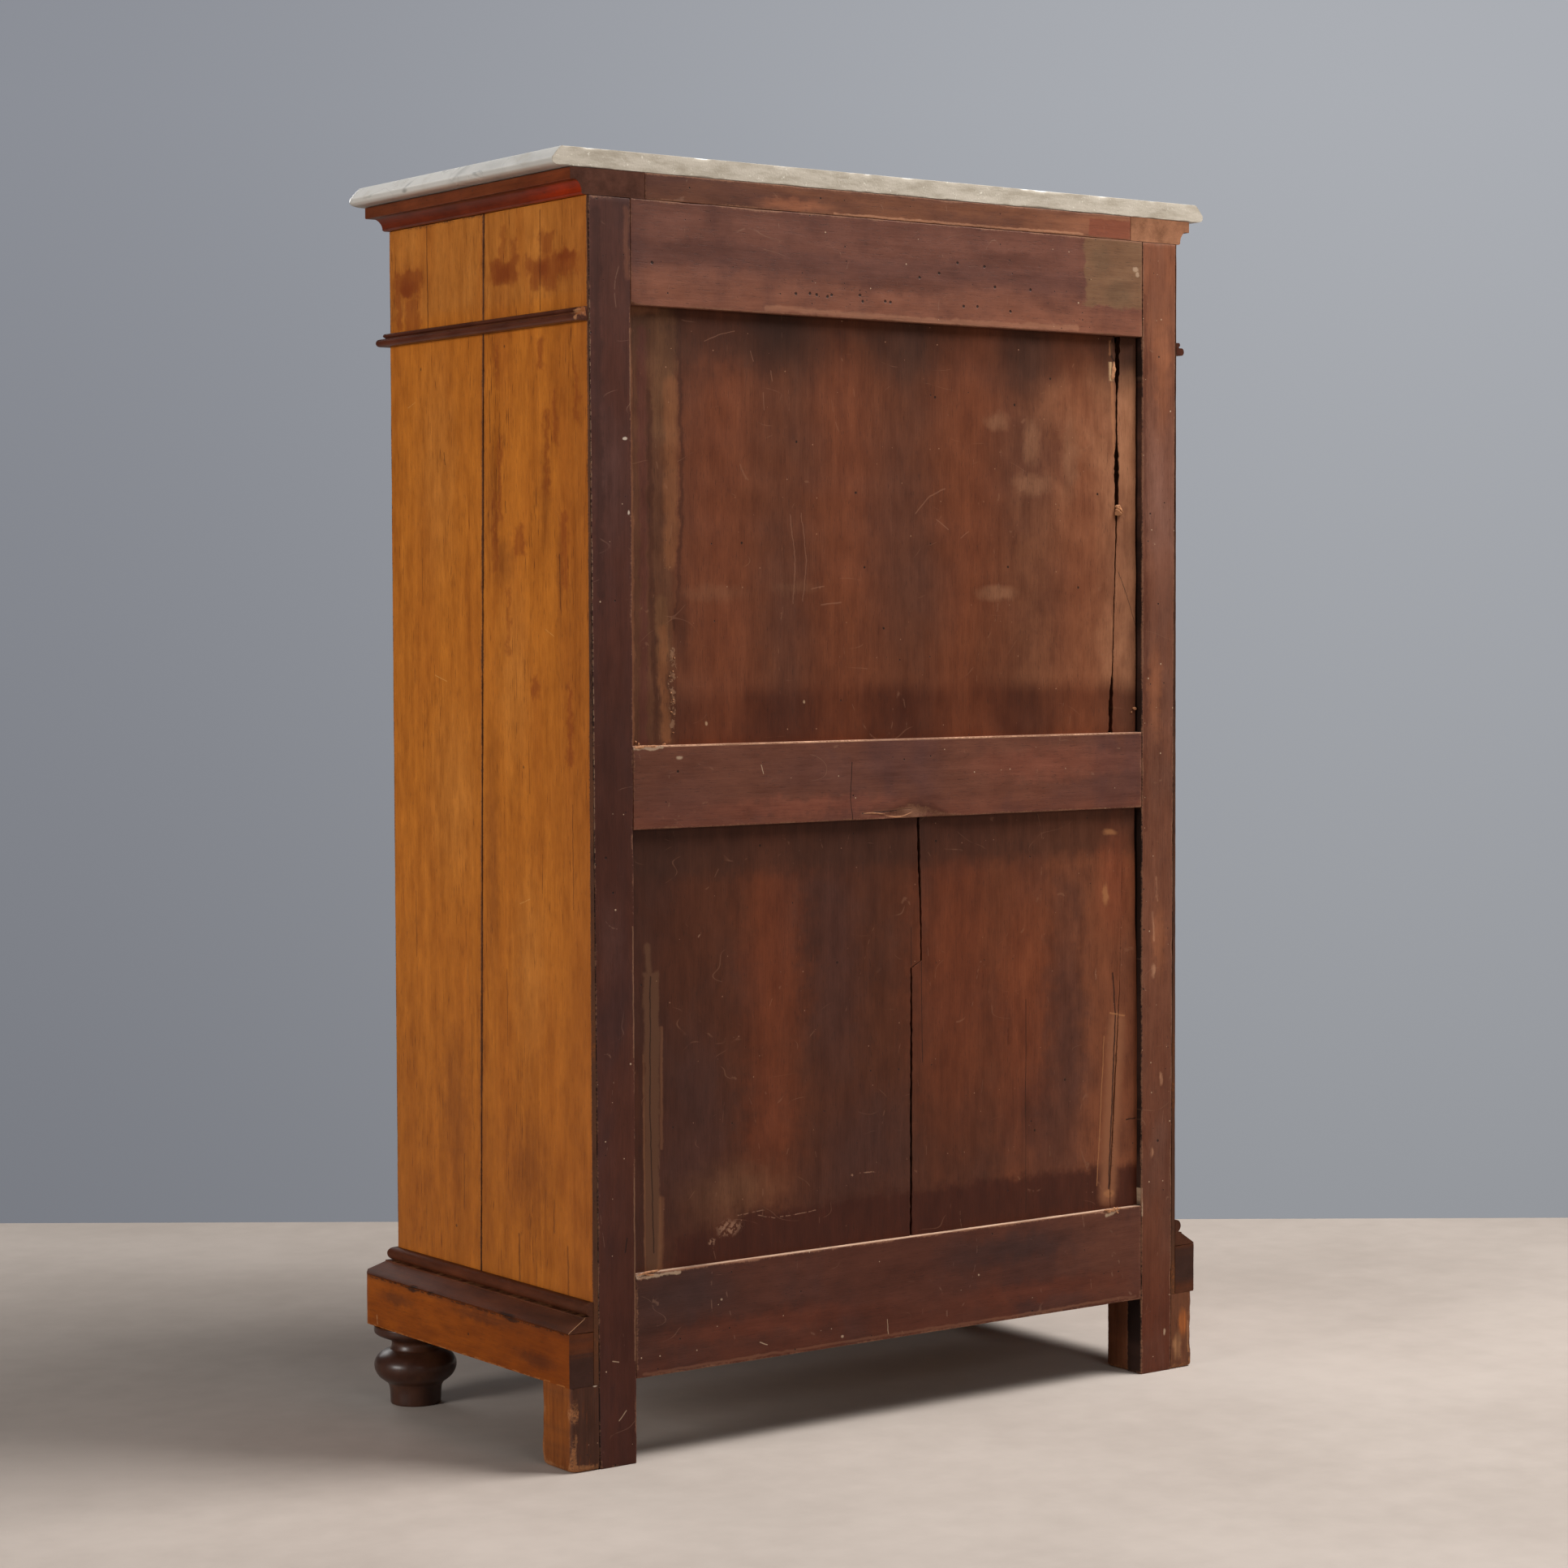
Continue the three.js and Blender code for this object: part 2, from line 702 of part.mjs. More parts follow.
function drawer(number, floor, ceiling, withKnobs) {
  const name = `drawer_${number}`;
  const low = floor + frontGap;
  const high = ceiling - frontGap;
  const sideLow = floor + seatGap;
  const sideHigh = high - sideDrop;
  const bottomLow = floor + drawerBottomRise;
  const bottomHigh = bottomLow + drawerBottomThickness;
  const knobLevel = (floor + ceiling) / 2;
  const wallInner = drawerHalf - drawerWall;

  const ring = (y, inset) => [
    [-drawerHalf + inset, y, low + inset],
    [-drawerHalf + inset, y, high - inset],
    [drawerHalf - inset, y, high - inset],
    [drawerHalf - inset, y, low + inset],
  ];
  const tailLow = sideLow + tailMargin;
  const tailHigh = sideHigh - tailMargin;
  const sockets = tails(tailLow, tailHigh, seatGap);
  const bottomGroove = block(
    -wallInner - drawerGroove, wallInner + drawerGroove,
    frontRear - drawerGroove, frontRear + overshoot,
    bottomLow - seatGap, bottomHigh + seatGap,
  );
  let front = loft([ring(frontY, frontEase), ring(frontY + frontEase, 0), ring(frontRear, 0)])
    .subtract(sockets)
    .subtract(mirrored(sockets))
    .subtract(bottomGroove)
    .subtract(keyhole(high - keyholeDrop));
  if (withKnobs) {
    for (const x of [-knobSpread, knobSpread]) {
      const hole = circle(x, knobLevel, knobStemRadius + knobHoleGap, 20);
      front = front.subtract(alongY(hole, frontY - overshoot, frontRear + overshoot));
    }
  }
  add(`${name}_front`, front, 'amber');

  const sideFront = frontRear + seatGap;
  const sideGroove = block(
    wallInner - overshoot, wallInner + drawerGroove,
    frontRear - drawerGroove, drawerBack + overshoot,
    bottomLow - seatGap, bottomHigh + seatGap,
  );
  const side = block(wallInner, drawerHalf, sideFront, drawerBack, sideLow, sideHigh)
    .add(tails(tailLow, tailHigh, 0))
    .subtract(sideGroove);
  const backPiece = block(
    -drawerHalf + boxBackInset, drawerHalf - boxBackInset,
    drawerBack - drawerWall, drawerBack, bottomHigh + seatGap, sideHigh - boxBackDrop,
  );
  add(`${name}_box`, side.add(mirrored(side)).add(backPiece), 'inside');

  add(`${name}_bottom`, block(
    -wallInner - drawerGroove + seatGap, wallInner + drawerGroove - seatGap,
    frontRear - drawerGroove + seatGap, drawerBack, bottomLow, bottomHigh,
  ), 'inside');

  if (withKnobs) {
    add(`${name}_knob_right`, knob(knobSpread, knobLevel), 'dark');
    add(`${name}_knob_left`, knob(-knobSpread, knobLevel), 'dark');
  }
}

add('marble_top', marbleTop(), 'marble');

addMoulding(
  'cornice', corniceProfile(),
  corniceProjection - corniceWidth, corniceProjection, 'dark',
);
const corniceInner = halfWidth + corniceProjection - corniceWidth - seatGap;
add('cornice_rear_rail', block(
  -corniceInner, corniceInner, backY - corniceRailWidth, backY, corniceBottom, corniceTop,
), 'back');

sideBoards();
addMoulding('waist_moulding', waistProfile(), 0, waistProjection, 'dark');

const plinthTrim = planPrism(roundedPlan(
  halfWidth + plinthProjection, frontY - plinthProjection, backY, plinthCornerRadius, 6,
), 0, totalHeight);
addMoulding('plinth', plinthProfile(), 0, plinthProjection, 'amber', plinthTrim);
addMoulding('plinth_cap', capProfile(), 0, plinthProjection, 'dark', plinthTrim);

addPair('rear_foot_block', rearFootBlock(), 'amber');
addPair('bun_foot', bunFoot(), 'dark');

addPair('rear_stile', rearStile(), 'back');
add('back_rail_top', backRail(...railSpans[0], false, true), 'back');
add('back_rail_middle', backRail(...railSpans[1], true, true), 'back');
add('back_rail_bottom', backRail(...railSpans[2], true, false), 'back');
add('back_panel_upper', upperPanel(), 'panel');
lowerPanels();

addPair('front_post', block(
  openingHalf, sideInner - seatGap, frontY, frontY + postSize, footHeight, bodyTop,
), 'amber');
add('carcass_bottom', guideBoard(capTop, bottomThickness), 'inside');
openings.slice(1).forEach(([, ceiling], i) => {
  add(`drawer_divider_${i + 1}`, guideBoard(ceiling + dividerThickness, dividerThickness), 'inside');
});
openings.forEach(([floor, ceiling], i) => {
  drawer(i + 1, floor, ceiling, i > 0);
});

export default group;
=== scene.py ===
# A tall chest of drawers with a marble top, seen from behind and from its right-hand side.
# Sizes and places are in millimetres, in the part's own frame, unless a note says otherwise.
import json
import math

import bmesh
import bpy
import numpy as np
from mathutils import Matrix, Vector

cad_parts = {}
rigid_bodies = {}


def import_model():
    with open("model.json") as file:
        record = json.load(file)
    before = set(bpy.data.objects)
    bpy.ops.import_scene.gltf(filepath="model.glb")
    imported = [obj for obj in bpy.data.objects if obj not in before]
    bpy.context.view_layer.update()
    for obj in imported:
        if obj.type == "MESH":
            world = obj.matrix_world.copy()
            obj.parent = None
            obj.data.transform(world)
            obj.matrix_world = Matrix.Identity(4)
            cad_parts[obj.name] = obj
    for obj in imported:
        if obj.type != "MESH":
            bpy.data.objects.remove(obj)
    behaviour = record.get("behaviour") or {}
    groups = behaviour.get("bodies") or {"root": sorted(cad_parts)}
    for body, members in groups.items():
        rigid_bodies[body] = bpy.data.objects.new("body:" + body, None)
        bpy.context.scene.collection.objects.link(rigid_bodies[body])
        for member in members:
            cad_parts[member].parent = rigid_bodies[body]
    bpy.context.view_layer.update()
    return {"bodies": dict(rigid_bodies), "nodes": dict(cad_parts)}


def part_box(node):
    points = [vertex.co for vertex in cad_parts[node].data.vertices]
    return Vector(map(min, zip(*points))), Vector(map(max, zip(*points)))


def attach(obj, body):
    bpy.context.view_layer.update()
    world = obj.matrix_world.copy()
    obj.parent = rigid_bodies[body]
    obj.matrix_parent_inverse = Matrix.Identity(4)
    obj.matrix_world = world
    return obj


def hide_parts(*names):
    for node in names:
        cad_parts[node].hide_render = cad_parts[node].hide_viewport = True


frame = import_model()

bpy.context.scene.view_settings.view_transform = "Standard"


# Camera
cameraLook = {
    "place": (2569.7, 3504.8, 960.5),
    "azimuth": 36.26,  # of the line of sight, from straight at the back towards +X, in degrees
    "dip": 2.597,  # below level
    "roll": -0.202,
    "focal": 4235.2,  # pixels of the 1932-pixel frame
    "frame": 1932,
}


def shown(name, data):
    # a new object in the scene
    piece = bpy.data.objects.new(name, data)
    bpy.context.scene.collection.objects.link(piece)
    return piece


def makeCamera(look):
    azimuth, dip = math.radians(look["azimuth"]), math.radians(look["dip"])
    level = math.cos(dip)
    forward = Vector((-math.sin(azimuth) * level, -math.cos(azimuth) * level, -math.sin(dip)))
    right = forward.cross(Vector((0, 0, 1))).normalized()
    up = right.cross(forward)
    turn = Matrix.Rotation(math.radians(-look["roll"]), 3, forward)
    right, up = turn @ right, turn @ up
    lens = bpy.data.cameras.new("camera")
    lens.sensor_width = 36
    lens.lens = look["focal"] / look["frame"] * lens.sensor_width
    camera = shown("camera", lens)
    camera.matrix_world = Matrix((right, up, -forward)).transposed().to_4x4()
    camera.location = Vector(look["place"]) / 1000
    bpy.context.scene.camera = camera
    return forward


lineOfSight = makeCamera(cameraLook)
print("camera ready")


# Sizes taken from the frame
def box(node):
    lo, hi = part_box(node)
    return np.array(lo) * 1000, np.array(hi) * 1000


stileLo, stileHi = box("rear_stile_right")
sideLo, sideHi = box("side_rear_board_right")
halfWidth = sideHi[0]
frontY = box("side_front_board_right")[0][1]
backY = stileHi[1]
frameFront = stileLo[1]
stileInner = stileLo[0]
bodyTop = sideHi[2]
jointGap = 0.3


def linear(red, green, blue):
    # an sRGB colour, 0 to 255, as the linear colour that a socket holds
    shares = np.array([red, green, blue]) / 255
    low, high = shares / 12.92, ((shares + 0.055) / 1.055) ** 2.4
    return (*np.where(shares <= 0.04045, low, high).tolist(), 1.0)


class Value:
    # an output socket that can be reckoned with: each operation adds its node to the graph
    def __init__(self, graph, socket):
        self.graph, self.socket = graph, socket
        self.isVector = socket.type != "VALUE"

    def __add__(self, other):
        return self.graph.reckon("ADD", self, other)

    def __sub__(self, other):
        return self.graph.reckon("SUBTRACT", self, other)

    def __rsub__(self, other):
        return self.graph.reckon("SUBTRACT", other, self)

    def __mul__(self, other):
        return self.graph.reckon("MULTIPLY", self, other)

    def __rmul__(self, other):
        return self.graph.reckon("MULTIPLY", other, self)

    def __truediv__(self, other):
        return self.graph.reckon("DIVIDE", self, other)

    def __rtruediv__(self, other):
        return self.graph.reckon("DIVIDE", other, self)


class Outputs:
    # the outputs of a node, by name or number
    def __init__(self, graph, node):
        self.graph, self.sockets = graph, node.outputs

    def __getitem__(self, key):
        return Value(self.graph, self.sockets[key])


class Graph:
    # short calls for the shader nodes of one tree; each gives back outputs
    def __init__(self, tree):
        self.tree = tree

    def send(self, inputs, values):
        # links or sets the inputs of a node, by name or number; a colour of three numbers is sRGB, 0 to 255
        for key, value in values.items():
            if isinstance(value, Value):
                self.tree.links.new(value.socket, inputs[key])
            elif inputs[key].type == "RGBA" and len(value) == 3:
                inputs[key].default_value = linear(*value)
            else:
                inputs[key].default_value = value

    def add(self, kind, inputs=None, **settings):
        node = self.tree.nodes.new(kind)
        for name, value in settings.items():
            setattr(node, name, value)
        self.send(node.inputs, inputs or {})
        return Outputs(self, node)

    def group(self, tree, inputs):
        return self.add("ShaderNodeGroup", inputs, node_tree=tree)

    def math(self, operation, *values, clamp=False):
        return self.add("ShaderNodeMath", dict(enumerate(values)), operation=operation, use_clamp=clamp)[0]

    def vector(self, operation, *values, **named):
        inputs = {**dict(enumerate(values)), **named}
        outputs = self.add("ShaderNodeVectorMath", inputs, operation=operation)
        return outputs["Value" if operation in ("LENGTH", "DOT_PRODUCT") else "Vector"]

    def reckon(self, operation, first, second):
        # numbers with numbers, vectors with vectors, or a vector scaled by a number
        vectors = [isinstance(value, tuple) or getattr(value, "isVector", False)
                   for value in (first, second)]
        if all(vectors):
            return self.vector(operation, first, second)
        if any(vectors):
            first, second = (first, second) if vectors[0] else (second, first)
            return self.vector("SCALE", first, Scale=second)
        return self.math(operation, first, second)

    def mix(self, amount, first, second, blend="MIX"):
        inputs = {0: amount, 6: first, 7: second}
        return self.add("ShaderNodeMix", inputs, data_type="RGBA", blend_type=blend)[2]

    def blendValue(self, amount, first, second):
        return self.add("ShaderNodeMix", {0: amount, 2: first, 3: second}, data_type="FLOAT")[0]

    def noise(self, vector, scale=1.0, detail=2.0, roughness=0.5, distortion=0.0, colour=False):
        inputs = {"Vector": vector, "Scale": scale, "Detail": detail,
                  "Roughness": roughness, "Distortion": distortion}
        return self.add("ShaderNodeTexNoise", inputs)["Color" if colour else 0]

    def smooth(self, value, low, high, outLow=0.0, outHigh=1.0, shape="SMOOTHSTEP"):
        inputs = dict(enumerate((value, low, high, outLow, outHigh)))
        return self.add("ShaderNodeMapRange", inputs, interpolation_type=shape)[0]

    def stretch(self, *values):
        return self.smooth(*values, shape="LINEAR")

    def place(self):
        # Object coordinates in millimetres
        return self.add("ShaderNodeTexCoord")["Object"] * 1000.0

    def split(self, vector):
        return self.add("ShaderNodeSeparateXYZ", {0: vector})

    def join(self, *values):
        return self.add("ShaderNodeCombineXYZ", dict(enumerate(values)))[0]

    def attribute(self, name):
        return self.add("ShaderNodeAttribute", attribute_name=name)["Fac"]


def finishMaterial(graph, shader, tone, rough, height):
    # the last links of a material: colour, roughness, and a bump of the height in millimetres
    normal = graph.add("ShaderNodeBump", {"Height": height, "Distance": 0.001, "Strength": 0.8})[0]
    graph.send(shader.inputs, {"Base Color": tone, "Roughness": rough, "Normal": normal})


def newGroup(name, inputs, outputs=("Mask",)):
    # an empty node group; inputs map a socket's name to its default, or to None for a vector
    tree = bpy.data.node_groups.new(name, "ShaderNodeTree")
    for label, default in inputs.items():
        kind = "NodeSocketVector" if default is None else "NodeSocketFloat"
        socket = tree.interface.new_socket(label, in_out="INPUT", socket_type=kind)
        if default is not None:
            socket.default_value = default
    for label in outputs:
        tree.interface.new_socket(label, in_out="OUTPUT", socket_type="NodeSocketFloat")
    graph = Graph(tree)
    out = tree.nodes.new("NodeGroupOutput").inputs
    return graph, graph.add("NodeGroupInput"), lambda **values: graph.send(out, values) or tree


def newMaterial(name):
    material = bpy.data.materials.new(name)
    material.use_nodes = True
    graph = Graph(material.node_tree)
    shader = material.node_tree.nodes["Principled BSDF"]
    return material, graph, shader


# Shapes: every new piece is a grid of points, rows of closed outlines
def ripple(a, b, size, seed):
    # mean of seven sine waves with seeded directions, lengths and phases; about -1 to 1
    dice = np.random.default_rng(seed)
    total = np.zeros(np.broadcast(a, b).shape)
    for _ in range(7):
        turn, phase = dice.uniform(0, 2 * np.pi, 2)
        length = size * dice.uniform(0.55, 1.7)
        total += np.sin((a * np.cos(turn) + b * np.sin(turn)) * 2 * np.pi / length + phase)
    return total / 3.5


def bodyOf(node):
    return next((name for name in frame["bodies"] if node.startswith(name + "_")), "carcass")


def markShift(mesh, name):
    # a number of the piece's own, by which its grain is moved
    shift = sum(ord(letter) * (index + 1) for index, letter in enumerate(name)) % 97
    mesh.attributes.new("shift", "FLOAT", "POINT").data.foreach_set(
        "value", np.full(len(mesh.vertices), shift, np.float32))


def seat(piece, node):
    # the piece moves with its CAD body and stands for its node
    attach(piece, bodyOf(node))
    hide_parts(node)
    return piece


def makePiece(name, node, rings, wear, material):
    # rings[..., row, column] are points on closed outlines; each end of a grid is one flat face
    rows, columns = rings.shape[-3:-1]
    first = np.arange(rings[..., 0].size // (rows * columns)) * rows * columns
    row = first[:, None, None] + np.arange(rows - 1)[:, None] * columns
    column = np.arange(columns)
    following = (column + 1) % columns
    quads = np.stack([row + column, row + following, row + columns + following, row + columns + column], -1)
    quads = quads.reshape(-1, 4)
    points = rings.reshape(-1, 3) / 1000
    corner = points[quads] - points.mean(axis=0)
    volume = np.einsum("ij,ij->i", corner[:, 0], np.cross(corner[:, 1], corner[:, 2])).sum()
    volume += np.einsum("ij,ij->i", corner[:, 0], np.cross(corner[:, 2], corner[:, 3])).sum()
    first = first[:, None]
    ends = np.concatenate([first + column[::-1], first + (rows - 1) * columns + column]).tolist()
    if volume < 0:
        quads = quads[:, ::-1]
        ends = [end[::-1] for end in ends]
    mesh = bpy.data.meshes.new(name)
    mesh.from_pydata(points.tolist(), [], quads.tolist() + ends)
    mesh.attributes.new("wear", "FLOAT", "POINT").data.foreach_set(
        "value", wear.reshape(-1).astype(np.float32))
    markShift(mesh, name)
    mesh.polygons.foreach_set("use_smooth", [True] * len(mesh.polygons))
    mesh.set_sharp_from_angle(angle=math.radians(38))
    mesh.materials.append(material)
    mesh.update()
    return seat(shown(name, mesh), node)


def along(start, end, pitch, ease):
    # stations of a piece, close together over its rounded ends, with the inset of the outline at each
    turn = np.linspace(np.pi / 2, 0, 4)[:-1]
    near, inset = ease * (1 - np.sin(turn)), ease * (1 - np.cos(turn))
    middle = np.linspace(start + ease, end - ease, max(2, math.ceil((end - start) / pitch)))
    stations = np.concatenate([start + near, middle, end - near[::-1]])
    return stations, np.concatenate([inset, np.zeros(len(middle)), inset[::-1]])


def across(width, pitch, tracks):
    # shares across a face: close together at its edges and at each crack
    edge = np.array([0.5, 1.6, 4.0])
    count = max(2, math.ceil((width - 10) / pitch))
    even = np.linspace(6, width - 6, count) if width > 14 else np.array([])
    for track in tracks:
        even = even[np.abs(even - track["at"]) > 4]
        even = np.concatenate([even, track["at"] + np.array([-3, -1, -0.5, 0, 0.5, 1, 3]) * track["width"]])
    inner = edge if width > 10 else edge[:1]
    places = np.concatenate([inner, np.sort(even), width - inner[::-1]])
    return places / width


def wornBoard(name, node, material, span, sides, place, look):
    # A board along s, with a section in u and v that may change with s. Its four
    # arrises are arcs whose radius wanders, its seen face is the one at high v,
    # and dents and cracks are taken off that face.
    s, inset = along(*span, look.get("pitch", 6), look.get("ease", 1.2))
    uLow, uHigh, vLow, vHigh = (np.broadcast_to(side, s.shape).astype(float) for side in sides(s))
    uLow, uHigh, vLow, vHigh = uLow + inset, uHigh - inset, vLow + inset, vHigh - inset
    seed = look.get("seed", 1)
    arris, worn = look.get("arris", 0.9), look.get("worn", 1.2)
    radii = []
    for corner in range(4):
        jitter = 0.5 * ripple(s, 0, 23, seed * 10 + corner) + 0.5 * ripple(s, 0, 7, seed * 10 + corner + 5)
        radius = arris * (1 + 0.3 * jitter)
        radius += worn * np.clip(ripple(s, 0, 90, seed * 10 + corner + 7) - 0.25, 0, 1) * (1 + 0.6 * jitter)
        for at, which, length, depth in look.get("chips", ()):
            if which == corner:
                radius += depth * np.exp(-(((s - at) / length) ** 2)) * (1 + 0.35 * jitter)
        radii.append(radius)
    angles = np.radians([180, 270, 0, 90])
    centres = [(uLow + radii[0], vLow + radii[0]), (uHigh - radii[1], vLow + radii[1]),
               (uHigh - radii[2], vHigh - radii[2]), (uLow + radii[3], vHigh - radii[3])]
    arcs = []
    for radius, angle, (u, v) in zip(radii, angles, centres):
        turn = angle + np.radians([0, 22.5, 45, 67.5, 90])
        sweep = radius[:, None] * np.stack([np.cos(turn), np.sin(turn)])[:, None]
        arcs.append(np.stack([u[:, None] + sweep[0], v[:, None] + sweep[1]], -1))
    width, depth = float(np.mean(uHigh - uLow)), float(np.mean(vHigh - vLow))
    tracks = look.get("tracks", ())
    seen = across(width, look.get("facePitch", 6), tracks)
    shares = [across(width, 60, ()), across(depth, 60, ()), 1 - seen[::-1], across(depth, 60, ())]
    parts, wears = [], []
    for corner in range(4):
        first, second = arcs[corner][:, -1], arcs[(corner + 1) % 4][:, 0]
        share = shares[corner]
        parts += [arcs[corner], first[:, None] + (second - first)[:, None] * share[None, :, None]]
        reach = np.minimum(share, 1 - share) * (width if corner in (0, 2) else depth)
        wears += [np.ones(5), np.clip(0.75 - 0.25 * reach, 0, 1)]
    outline = np.concatenate(parts, axis=1)
    wear = np.broadcast_to(np.concatenate(wears), outline.shape[:2]).copy()
    u, v = outline[..., 0], outline[..., 1]
    station = np.broadcast_to(s[:, None], u.shape)
    wear = np.maximum(wear, np.clip(1 - 0.3 * np.minimum(station - s[0], s[-1] - station), 0, 1))
    facing = np.clip((v - vLow[:, None]) / (vHigh - vLow)[:, None], 0, 1) ** 4
    v = v + facing * look.get("ripple", 0.15) * ripple(station, u, 70, seed + 3)
    for track in tracks:
        middle = np.mean(uLow) + track["at"]
        envelope = np.clip((s - track["from"]) / 25, 0, 1) * np.clip((track["to"] - s) / 25, 0, 1)
        envelope = envelope * np.clip(0.75 + 0.4 * ripple(s, 0, 45, seed + 31), 0.2, 1.2)
        groove = np.clip(1 - np.abs(u - middle) / track["width"], 0, 1) * track["depth"]
        v = v - facing * groove * envelope[:, None]
        bend = track.get("wander", 0) * ripple(s, 0, 130, seed + 17)[:, None]
        u = u + bend * np.exp(-((u - middle) / 14) ** 2)
    for at, centre, length, breadth, sink in look.get("dents", ()):
        reach = ((station - at) / length) ** 2 + ((u - centre) / breadth) ** 2
        mask = np.clip(1.35 - reach + 0.3 * ripple(station, u, 12, seed + 41), 0, 1)
        v = v - facing * sink * np.clip(mask * 2.5, 0, 1)
        wear = np.maximum(wear, facing * np.clip(mask * 2, 0, 1) * (sink > 0.4))
    return makePiece(name, node, place(station, u, v), wear, material)


def standing(s, u, v):
    # grain up the piece, seen from behind
    return np.stack([u, v, s], -1)


def lying(s, u, v):
    # grain from side to side, seen from behind
    return np.stack([s, v, u], -1)


def flank(sign):
    # grain up the piece, seen from the side
    return lambda s, u, v: np.stack([sign * v, u, s], -1)


# Effects that several materials share
def grainEffect():
    # figure, streak, fibre and mottle are noises drawn out along the third axis, and pores
    # and flecks are where two more of them peak
    graph, given, out = newGroup("wood grain", {"Vector": None},
                                 ("Figure", "Streak", "Fibre", "Pores", "Mottle", "Flecks"))

    def drawnOut(across, along, detail, distortion=0.0):
        vector = given["Vector"] * (1 / across, 1 / across, 1 / along)
        return graph.noise(vector, 1.0, detail, 0.58, distortion)

    # patches thin out the streaks here and there, and gather the flecks in groups
    patch = drawnOut(60, 210, 3)
    calm = graph.stretch(patch, 0.35, 0.65, 0.25, 1.0)
    streak = (drawnOut(4.6, 200, 5, 0.35) - 0.5) * calm + 0.5
    flecks = graph.smooth(drawnOut(1.7, 30, 3) + patch * 0.4, 0.84, 0.93)
    pores = graph.smooth(drawnOut(0.8, 10, 1), 0.63, 0.7)
    return out(Figure=drawnOut(34, 480, 5, 1.1), Streak=streak, Fibre=drawnOut(1.3, 34, 4), Pores=pores,
               Mottle=drawnOut(17, 44, 6), Flecks=flecks)


def patchGroup(name, inputs):
    # the start of a group whose mask is a shape with a ragged rim: the place is moved by the jitter
    graph, given, out = newGroup(name, {"Vector": None, "Jitter": None, "Ragged": 0.0, **inputs})
    return graph, given, out, given["Vector"] + given["Jitter"] * given["Ragged"]


def ovalEffect():
    # distance from the centre in shares of the half-sizes
    graph, given, out, place = patchGroup("oval patch", {"Centre": None, "Size": None, "Soft": 0.3})
    reach = graph.vector("LENGTH", (place - given["Centre"]) / given["Size"])
    return out(Mask=graph.smooth(reach, given["Soft"] + 1.0, 1.0 - given["Soft"]))


def boxEffect():
    # depth inside a rectangle, softened over a few millimetres
    graph, given, out, place = patchGroup("box patch", {"Low": None, "High": None, "Soft": 1.0})
    depth = graph.vector("MINIMUM", place - given["Low"], given["High"] - place)
    part = graph.split(depth)
    inside = graph.math("MINIMUM", part[0], part[1])
    return out(Mask=graph.smooth(inside, given["Soft"] * -1.0, given["Soft"]))


def strokeEffect():
    # nearness to the straight line between two points
    graph, given, out, place = patchGroup("stroke", {"Start": None, "End": None, "Width": 1.0})
    run = given["End"] - given["Start"]
    offset = place - given["Start"]
    reach, whole = (graph.vector("DOT_PRODUCT", vector, run) for vector in (offset, run))
    share = graph.math("DIVIDE", reach, whole, clamp=True)
    gap = graph.vector("LENGTH", offset - run * share)
    return out(Mask=graph.smooth(gap, given["Width"], given["Width"] * 0.25))


def holeEffect():
    # round holes at some of the seeds of a Voronoi pattern; density is the share of seeds that has one
    graph, given, out = newGroup("worm holes",
                                 {"Vector": None, "Spacing": 10.0, "Radius": 0.8, "Density": 0.1})
    vector = given["Vector"] * (1.0 / given["Spacing"])
    seeds = graph.add("ShaderNodeTexVoronoi", {"Vector": vector, "Scale": 1.0}, voronoi_dimensions="2D")
    dice = graph.add("ShaderNodeSeparateColor", {0: seeds["Color"]})
    gap = seeds["Distance"] * given["Spacing"]
    radius = given["Radius"] * (dice[0] + 0.5)
    hole = graph.smooth(gap, radius, radius * 0.55)
    return out(Mask=hole * graph.math("LESS_THAN", dice[1], given["Density"]))


def wearEffect():
    # the wear that the mesh carries, broken up by a fine and a coarse noise
    graph, given, out = newGroup("edge wear", {"Vector": None, "Wear": 0.0, "Amount": 0.5})
    fine = graph.noise(given["Vector"], 0.35, 4, 0.65)
    coarse = graph.noise(given["Vector"], 0.03, 2, 0.5)
    level = fine * 0.9 + coarse * 0.7 - 0.8 + given["Wear"] * given["Amount"]
    return out(Mask=graph.smooth(level, 0.12, 0.4) * graph.smooth(given["Wear"], 0.1, 0.6))


def scratchEffect():
    # hairlines where two bent noises pass their middle values, in scattered patches
    graph, given, out = newGroup("scratches", {"Vector": None})
    total = None
    for scale, width, stretch in ((0.011, 0.0035, (1.0, 0.35, 1.0)), (0.017, 0.004, (0.5, 1.2, 1.0))):
        vector = given["Vector"] * stretch
        gap = graph.math("ABSOLUTE", graph.noise(vector, scale, 1, 0.4) - 0.5)
        patch = graph.smooth(graph.noise(given["Vector"], 0.02 / stretch[1], 3, 0.6), 0.56, 0.64)
        line = graph.smooth(gap, width, width * 0.3) * patch
        total = line if total is None else graph.math("MAXIMUM", total, line)
    return out(Mask=total)


effects = {"grain": grainEffect(), "ovals": ovalEffect(), "boxes": boxEffect(), "lines": strokeEffect(),
           "holes": holeEffect(), "wear": wearEffect(), "scratches": scratchEffect()}


def mark(colour, amount, *shapes, **more):
    # a stain or mark: its colour, how far it covers, its groups of shapes, and what else it does
    return {"colour": colour, "amount": amount, "shapes": shapes, **more}


